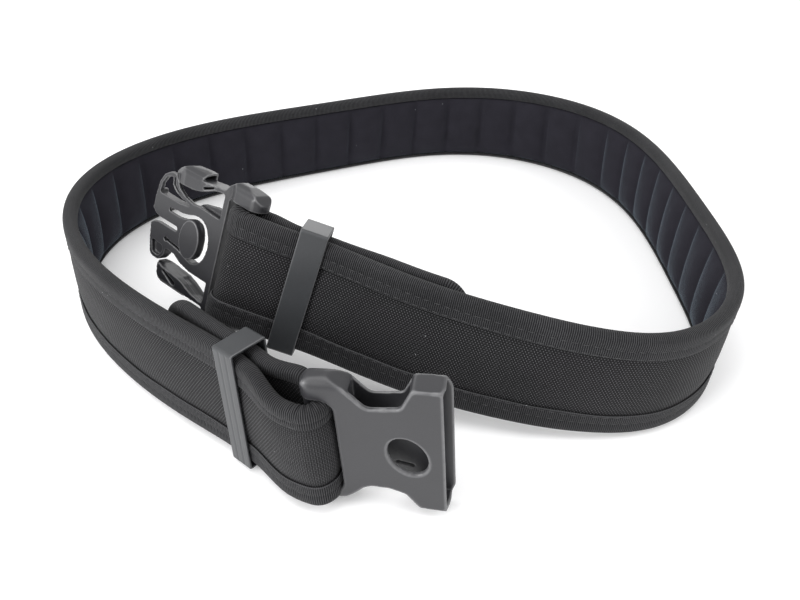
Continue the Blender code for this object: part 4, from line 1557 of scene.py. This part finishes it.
@dataclass
class Blade:
    """The plug's blade: nose with its two hooks, split down the middle, and the button on a thin tongue.

    Rows are along the plug, across it and, where corners are round, their radius. The slot's two lines
    are measured from the button's middle, above it and then below it.
    """

    thick: float = 4.6
    button: Row = (27.4, -0.6, 6.1, 8.9)
    button_levels: Row = (-1.4, 2.6)
    outline: Rows = (
        (13.0, 14.2, 0.0), (27.0, 14.6, 4.0), (31.6, 14.3, 4.0), (36.8, 15.4, 3.0), (41.2, 17.6, 2.5),
        (43.4, 20.8, 1.5), (44.9, 23.0, 1.2), (48.6, 22.7, 1.5), (52.2, 20.3, 2.0), (54.5, 16.2, 2.5),
        (55.5, 9.0, 3.0), (56.0, 1.0, 0.5), (56.0, -2.0, 0.5), (54.7, -11.0, 3.0), (52.8, -18.7, 2.8),
        (46.6, -18.9, 2.8), (43.5, -15.0, 1.5), (43.3, -11.8, 0.8), (37.8, -11.9, 3.0),
        (32.6, -14.3, 3.0), (27.0, -15.5, 4.0), (13.0, -15.5, 0.0),
    )
    flange: Rows = ((12.0, 12.0), (12.0, 18.0), (20.0, 17.4), (27.5, 15.8), (33.0, 13.0), (33.0, 12.0))
    flange_top: float = -3.1
    upper_pocket: Rows = (
        (53.3, 11.4, 0.8), (52.5, 16.2, 1.5), (50.4, 19.6, 1.2), (46.6, 21.0, 0.8), (46.2, 17.6, 1.2),
        (43.6, 15.2, 1.5), (38.8, 13.7, 1.0), (33.6, 12.9, 0.0), (33.6, 12.3, 0.0), (39.4, 11.4, 0.0),
        (45.0, 11.2, 0.0),
    )
    lower_pocket: Rows = (
        (53.0, -10.8, 0.8), (51.3, -16.8, 1.4), (47.4, -17.0, 1.2), (45.4, -14.4, 1.0),
        (45.2, -11.6, 0.6),
    )
    lower_pocket_floor: float = -1.8
    hook_back: Rows = ((29.5, 12.8), (61.0, 12.8), (61.0, 30.0), (29.5, 30.0))
    hook_back_top: float = -1.9
    hook_groove: Rows = (
        (45.3, 21.4), (44.3, 18.2), (42.2, 16.5), (37.4, 14.7), (33.5, 13.9), (37.2, 14.3),
        (42.6, 15.8), (45.4, 17.9), (46.0, 21.1),
    )
    hook_groove_floor: float = -1.1
    split: Rows = (
        (38.2, 0.5, 0.9), (50.5, 0.5, 1.0), (53.8, 1.4, 1.0), (57.0, 4.2, 0.0), (60.0, 9.0, 0.0),
        (60.0, -10.0, 0.0), (57.0, -5.0, 0.0), (53.8, -2.4, 1.0), (50.5, -1.5, 1.0), (38.2, -1.5, 0.9),
    )
    tongue: Rows = (
        (60.0, 9.2, 0.0), (44.0, 9.2, 1.0), (36.0, 7.4, 2.0), (30.0, 9.4, 2.0), (25.8, 9.8, 2.0),
        (20.4, 6.2, 3.0), (18.8, -0.6, 5.0), (20.4, -7.4, 3.0), (25.8, -11.0, 2.0), (30.0, -9.0, 2.0),
        (36.0, -5.0, 2.0), (60.0, -5.0, 0.0),
    )
    tongue_back: float = -1.5
    slot_outer: tuple[Rows, ...] = (
        ((44.6, 7.9), (41.8, 8.1), (36.5, 8.4), (33.2, 9.1), (29.4, 10.5), (25.8, 10.8), (22.6, 9.8),
         (20.0, 7.0), (18.6, 3.6), (18.2, 0.0)),
        ((18.6, 3.6), (20.0, 7.0), (22.6, 9.8), (25.8, 10.8), (29.4, 10.2), (33.2, 8.9), (36.5, 8.2),
         (41.8, 7.6), (44.6, 7.4)),
    )
    slot_inner: tuple[Rows, ...] = (
        ((44.6, 6.3), (41.5, 6.1), (38.0, 6.2), (34.2, 6.9), (31.5, 7.9), (29.0, 8.9), (26.6, 9.0),
         (24.2, 8.2), (22.4, 6.1), (21.6, 3.2), (21.2, 0.0)),
        ((21.6, 3.2), (22.4, 6.1), (24.2, 8.2), (26.6, 9.0), (29.0, 8.9), (31.5, 8.2), (34.2, 7.5),
         (38.0, 6.9), (41.5, 6.6), (44.6, 6.4)),
    )
    slot_ends: Rows = ((44.3, 7.1), (44.3, -6.9))
    slot_end_radius: float = 0.95

    def slot_line(self, upper: Sequence[Row], lower: Sequence[Row]) -> list[Row]:
        """One smooth line of the slot, round the button's far side."""
        middle = self.button[1]
        return cut_corners([(a, middle + b) for a, b in upper] + [(a, middle - b) for a, b in lower])

    def build(self) -> Mould:
        """Make the blade.

        Returns:
            The shape.
        """
        blade = Mould(round_corners(self.outline, 6), -self.thick, 0.0)
        for side in (1, -1):
            blade.with_(Cut.ADD, Mould(sided(self.flange, side), -self.thick, self.flange_top))
        slot = self.slot_line(*self.slot_outer) + self.slot_line(*self.slot_inner)[::-1]
        radius, middle = self.slot_end_radius, self.button[1]
        blade.with_(
            Cut.TAKE,
            Mould(round_corners(self.upper_pocket, 6), UNDER, 1.0),
            Mould(round_corners(self.lower_pocket, 6), self.lower_pocket_floor, 1.0),
            Mould(self.hook_back, UNDER, self.hook_back_top),
            Mould(self.hook_groove, self.hook_groove_floor, 1.0),
            Mould(round_corners(self.split), UNDER, OVER),
            Mould(round_corners(self.tongue, 5), UNDER, self.tongue_back),
            Mould(slot, UNDER, OVER),
            *(Mould(oval(a, middle + b, radius, radius, steps=24), UNDER, OVER) for a, b in self.slot_ends),
        )
        return blade.with_(Cut.ADD, Mould(oval(*self.button), *self.button_levels))


@dataclass
class PlugHalf:
    """Pronged buckle half in one moulding: frame with ears, bar, blade and two spring arms."""

    route: WebRoute
    half: float = 33.3
    opening: float = 25.4
    front: float = 2.6
    back: float = -7.6
    ear_radius: float = 4.2
    bar: float = -0.6
    bar_out: float = -1.2
    bar_radius: float = 2.1
    grain: float = 0.36
    upper_arm: SpringArm = field(default_factory=lambda: SpringArm(
        side=1, tip=38.0, eye_floor=UNDER,
        channel=(
            (15.2, 15.0), (15.2, 25.9), (17.0, 26.0), (21.0, 25.1), (26.6, 22.6), (29.0, 22.0), (29.0, 15.0),
        ),
        eye=((26.6, 22.9), (21.6, 25.0), (20.4, 25.9), (21.4, 26.0), (26.4, 24.1)),
    ))
    lower_arm: SpringArm = field(default_factory=lambda: SpringArm(
        side=-1, tip=42.5, eye_floor=-2.2,
        channel=(
            (15.2, 15.0), (15.2, 25.9), (17.0, 26.0), (21.0, 25.1), (26.6, 22.7), (31.0, 21.6), (37.0, 20.9),
            (41.0, 19.2), (41.0, 15.0),
        ),
        eye=((41.6, 21.6), (40.6, 21.0), (31.8, 23.6), (32.2, 25.3), (34.0, 25.3)),
    ))

    def build(self, material: bpy.types.Material) -> bpy.types.Object:
        """Make the piece.

        Args:
            material: the buckle plastic.

        Returns:
            The object.
        """
        half, front, back, ear = self.half, self.front, self.back, self.ear_radius
        body = Mould(round_corners(mirrored((
            (14.6, 27.6, 1.0), (12.5, 30.4, 2.0), (8.0, half, 4.0), (2.5, half, 4.0), (-3.5, 31.6, 3.0),
            (-6.6, 28.6, 1.5), (-6.6, self.opening, 0.0), (11.4, self.opening, 2.4),
        ))), back, front)
        section = Mould(rounded_box(half, -half, front, back, ear), -20.0, 30.0, Plane.ACROSS)
        side = Mould(round_corners((
            (-6.6, front, ear), (-6.6, back, ear), (12.0, back, 3.0), (14.6, -5.6, 1.0), (14.6, 0.0, 0.3),
            (10.8, 0.0, 3.0), (6.5, front, 4.0),
        )), -FAR, FAR, Plane.LENGTHWISE)
        body.with_(Cut.KEEP, section, side)
        bar = rod(self.bar, self.bar_out, self.bar_radius)
        body.with_(Cut.ADD, bar, Blade().build(), self.upper_arm.build(), self.lower_arm.build())
        body.soften(self.grain, 3)
        matrix = self.route.plug.matrix(np.array(self.route.origin))
        return body.placed(matrix, "plug_half", "buckle_plug", material)


@dataclass
class Keeper:
    """A moulded rectangular slide round the doubled web."""

    route: WebRoute
    end: Layer
    from_bar: float
    turn: float = 0.0
    width: float = 11.5
    grooves: Row = ()
    groove_depth: float = 0.22
    groove_half: float = 0.4
    wall: float = 1.1
    play: float = 0.5
    above: float = 2.1
    below: float = 1.2
    reach: float = 3.1
    highlight_reach: float = 0.55

    def axes(self) -> tuple[np.ndarray, ...]:
        """Where the keeper sits.

        Returns:
            The web's middle there in mm, and the keeper's directions along, across and out.
        """
        route = self.route
        onward = self.end is Layer.SOCKET
        here = route.main_start + (route.run_length - self.from_bar if onward else self.from_bar)
        middle, ahead, behind, above = (
            route.at(np.array(here + ds), np.array(b), np.array(0.0)) / MM
            for ds, b in ((0.0, 0.0), (5.0, 0.0), (-5.0, 0.0), (0.0, 1.0))
        )
        along = unit(ahead - behind)
        across = unit(above - middle)
        across = unit(across - along * (across @ along))
        face = np.cross(along, across)
        c, s = math.cos(math.radians(self.turn)), math.sin(math.radians(self.turn))
        return middle, c * along + s * across, c * across - s * along, face

    def build(self, name: str, node: str, material: bpy.types.Material) -> bpy.types.Object:
        """Make the piece.

        Args:
            name: the piece's name.
            node: the CAD node it stands for.
            material: the keeper plastic.

        Returns:
            The object.
        """
        route = self.route
        middle, along, across, face = self.axes()
        table = route.socket_tail if self.end is Layer.SOCKET else route.plug_tail
        pitch = float(along_table(table, np.array([self.from_bar]))[0])
        front, back = self.reach + self.play, pitch + self.reach + self.play
        top, bottom = route.half + self.above, route.half + self.below
        wall, edge = self.wall, self.width / 2
        profile = self.refine(round_corners((
            (-edge, 0.0, 0.3), (edge, 0.0, 0.3), (edge, wall, 0.5), (-edge, wall, 0.5),
        ), 4))
        rows, edge_highlight = [], []
        for a, out in [*profile, profile[0]]:
            radius = 0.5 + 0.9 * out / wall
            corners = rounded_box(top + out, -bottom - out, front + out, -back - out, radius, 7)
            ring = [np.array(p) for p in corners]
            if out > 0.99 * wall:
                ring = [self.groove(p, a, front + wall, bottom) for p in ring]
            rows.append([(middle + across * p[0] + face * p[1] + along * a) * MM for p in [*ring, ring[0]]])
            # pale painted highlight along the keeper's outer edges, kept in the cloth places
            edge_highlight += [max(0.0, 1 - math.hypot(edge - abs(a), wall - out) / self.highlight_reach)] * (len(ring) + 1)
        places = np.array(rows)
        cloth = np.zeros((*places.shape[:2], 2))
        cloth[..., 0] = np.array(edge_highlight).reshape(places.shape[:2])
        bm = Piece.strip(places, cloth, True, True)
        return Piece.finish(name, bm, material, "keeper_plastic", [node])

    def refine(self, profile: Sequence[Row]) -> list[Row]:
        """The section with more places along its outer side, for the grooves.

        Args:
            profile: the section's outline.

        Returns:
            The finer outline.
        """
        fine: list[Row] = []
        for (a0, o0), (a1, o1) in zip(profile, [*profile[1:], profile[0]]):
            fine.append((a0, o0))
            count = 28 if min(o0, o1) > 0.99 * self.wall and abs(a1 - a0) > 4 else 1
            fine += [(a0 + (a1 - a0) * k / count, o0) for k in range(1, count)]
        return fine

    def groove(self, p: np.ndarray, a: float, front: float, bottom: float) -> np.ndarray:
        """Press the long grooves into the outer face.

        Args:
            p: a place on the ring, across and out.
            a: where it is along the belt.
            front: level of the outer face.
            bottom: how far down the opening reaches.

        Returns:
            The place with the groove in it.
        """
        if abs(p[1] - front) > 0.05 or p[0] < -bottom - 0.5:
            return p
        dips = (math.exp(-(((a - at) / self.groove_half) ** 2)) for at in self.grooves)
        return np.array([p[0], p[1] - sum(self.groove_depth * dip for dip in dips)])


# Studio


@dataclass
class Studio:
    """Pale floor, soft light and the camera."""

    camera_at: tuple[float, float, float] = (0.00865, -0.30435, 0.227943)
    pitch: float = 38.4513
    roll: float = 1.0468
    focal: float = 724.272
    frame_width: int = 800
    sensor: float = 36.0
    surroundings: float = 0.70
    # name, place, side in metres, watts, where it points
    lamps: tuple[tuple[str, Row, float, float, Row], ...] = (
        ("over", (-0.3, -0.1, 1.1), 0.9, 6.5, (0.0, 0.0, 0.0)),
        ("left", (-0.9, -0.7, 0.6), 0.6, 10.5, (0.0, 0.0, 0.0)),
        ("right", (0.9, -0.3, 0.8), 0.6, 4.0, (0.0, 0.0, 0.0)),
        ("back", (0.05, 1.2, 0.28), 0.5, 2.0, (-0.02, -0.08, 0.07)),
    )

    def floor(self, material: bpy.types.Material) -> bpy.types.Object:
        """Lay the floor.

        Args:
            material: the paper.

        Returns:
            The object.
        """
        bm = bmesh.new()
        bmesh.ops.create_grid(bm, x_segments=2, y_segments=2, size=6.0)
        obj = put_mesh("studio_floor", bm)
        obj.data.materials.append(material)
        return obj

    def camera(self) -> None:
        """Set the camera at the photograph's angle."""
        pitch, roll = math.radians(self.pitch), math.radians(self.roll)
        forward = Vector((0.0, math.cos(pitch), -math.sin(pitch)))
        right, up = Vector((1.0, 0.0, 0.0)), Vector((0.0, math.sin(pitch), math.cos(pitch)))
        x = math.cos(roll) * right + math.sin(roll) * up
        y = -math.sin(roll) * right + math.cos(roll) * up
        lens = bpy.data.cameras.new("view")
        lens.sensor_fit = "HORIZONTAL"
        lens.sensor_width = self.sensor
        lens.lens = self.focal * self.sensor / self.frame_width
        lens.clip_start = 0.01
        obj = put("view", lens)
        obj.matrix_world = placing(x, y, -forward, self.camera_at)
        bpy.context.scene.camera = obj

    def lamp(self, name: str, at: Row, size: float, power: float, towards: Row) -> None:
        """Hang one soft box.

        Args:
            name: its name.
            at: where it hangs.
            size: its side, metres.
            power: watts.
            towards: where it points.
        """
        light = bpy.data.lights.new(name, "AREA")
        light.shape = "SQUARE"
        light.size = size
        light.energy = power
        aim = (Vector(towards) - Vector(at)).to_track_quat("-Z", "Y")
        put(name, light).matrix_world = Matrix.Translation(Vector(at)) @ aim.to_matrix().to_4x4()

    def light(self) -> None:
        """Light the scene: white surroundings and the soft boxes."""
        scene = bpy.context.scene
        scene.view_settings.view_transform = "Standard"
        scene.view_settings.look = "None"
        world = bpy.data.worlds.new("surroundings")
        world.use_nodes = True
        back = world.node_tree.nodes["Background"]
        back.inputs["Color"].default_value = (1.0, 1.0, 1.0, 1.0)
        back.inputs["Strength"].default_value = self.surroundings
        scene.world = world
        for lamp in self.lamps:
            self.lamp(*lamp)


def main() -> None:
    """Build the belt, dress it and set the studio."""
    logging.basicConfig(level=logging.INFO, format="%(name)s %(message)s")
    route = WebRoute()
    fold_at = float(route.face_run(np.array(route.socket_fold[0])))
    woven = WovenFace(fold=(fold_at - 8 * MM, fold_at + 20 * MM)).make()
    tape = RibbedTape().make()
    pile = PileLining().make()
    buckle = MouldedPlastic("buckle_plastic", (0.0220, 0.0220, 0.0250), 0.37).make()
    slide = MouldedPlastic("keeper_plastic", (0.033, 0.035, 0.038), 0.40, highlight_in_cloth=True).make()
    PaddedWeb(route).build(woven)
    binding = EdgeBinding(route)
    binding.build(tape)
    binding.stitch(SewingThread().make())
    QuiltedLining(route).build(pile)
    SocketHalf(route).build(buckle)
    PlugHalf(route).build(buckle)
    Keeper(route, Layer.PLUG, 28.1).build("slide_by_plug", "keeper_plug_side", slide)
    turned = Keeper(route, Layer.SOCKET, 34.7, turn=4.0, width=10.4, grooves=(-1.5, 2.0))
    turned.build("slide_by_socket", "keeper_socket_side", slide)
    studio = Studio()
    studio.floor(WhitePaper().make())
    studio.light()
    studio.camera()


if __name__ == "__main__":
    main()
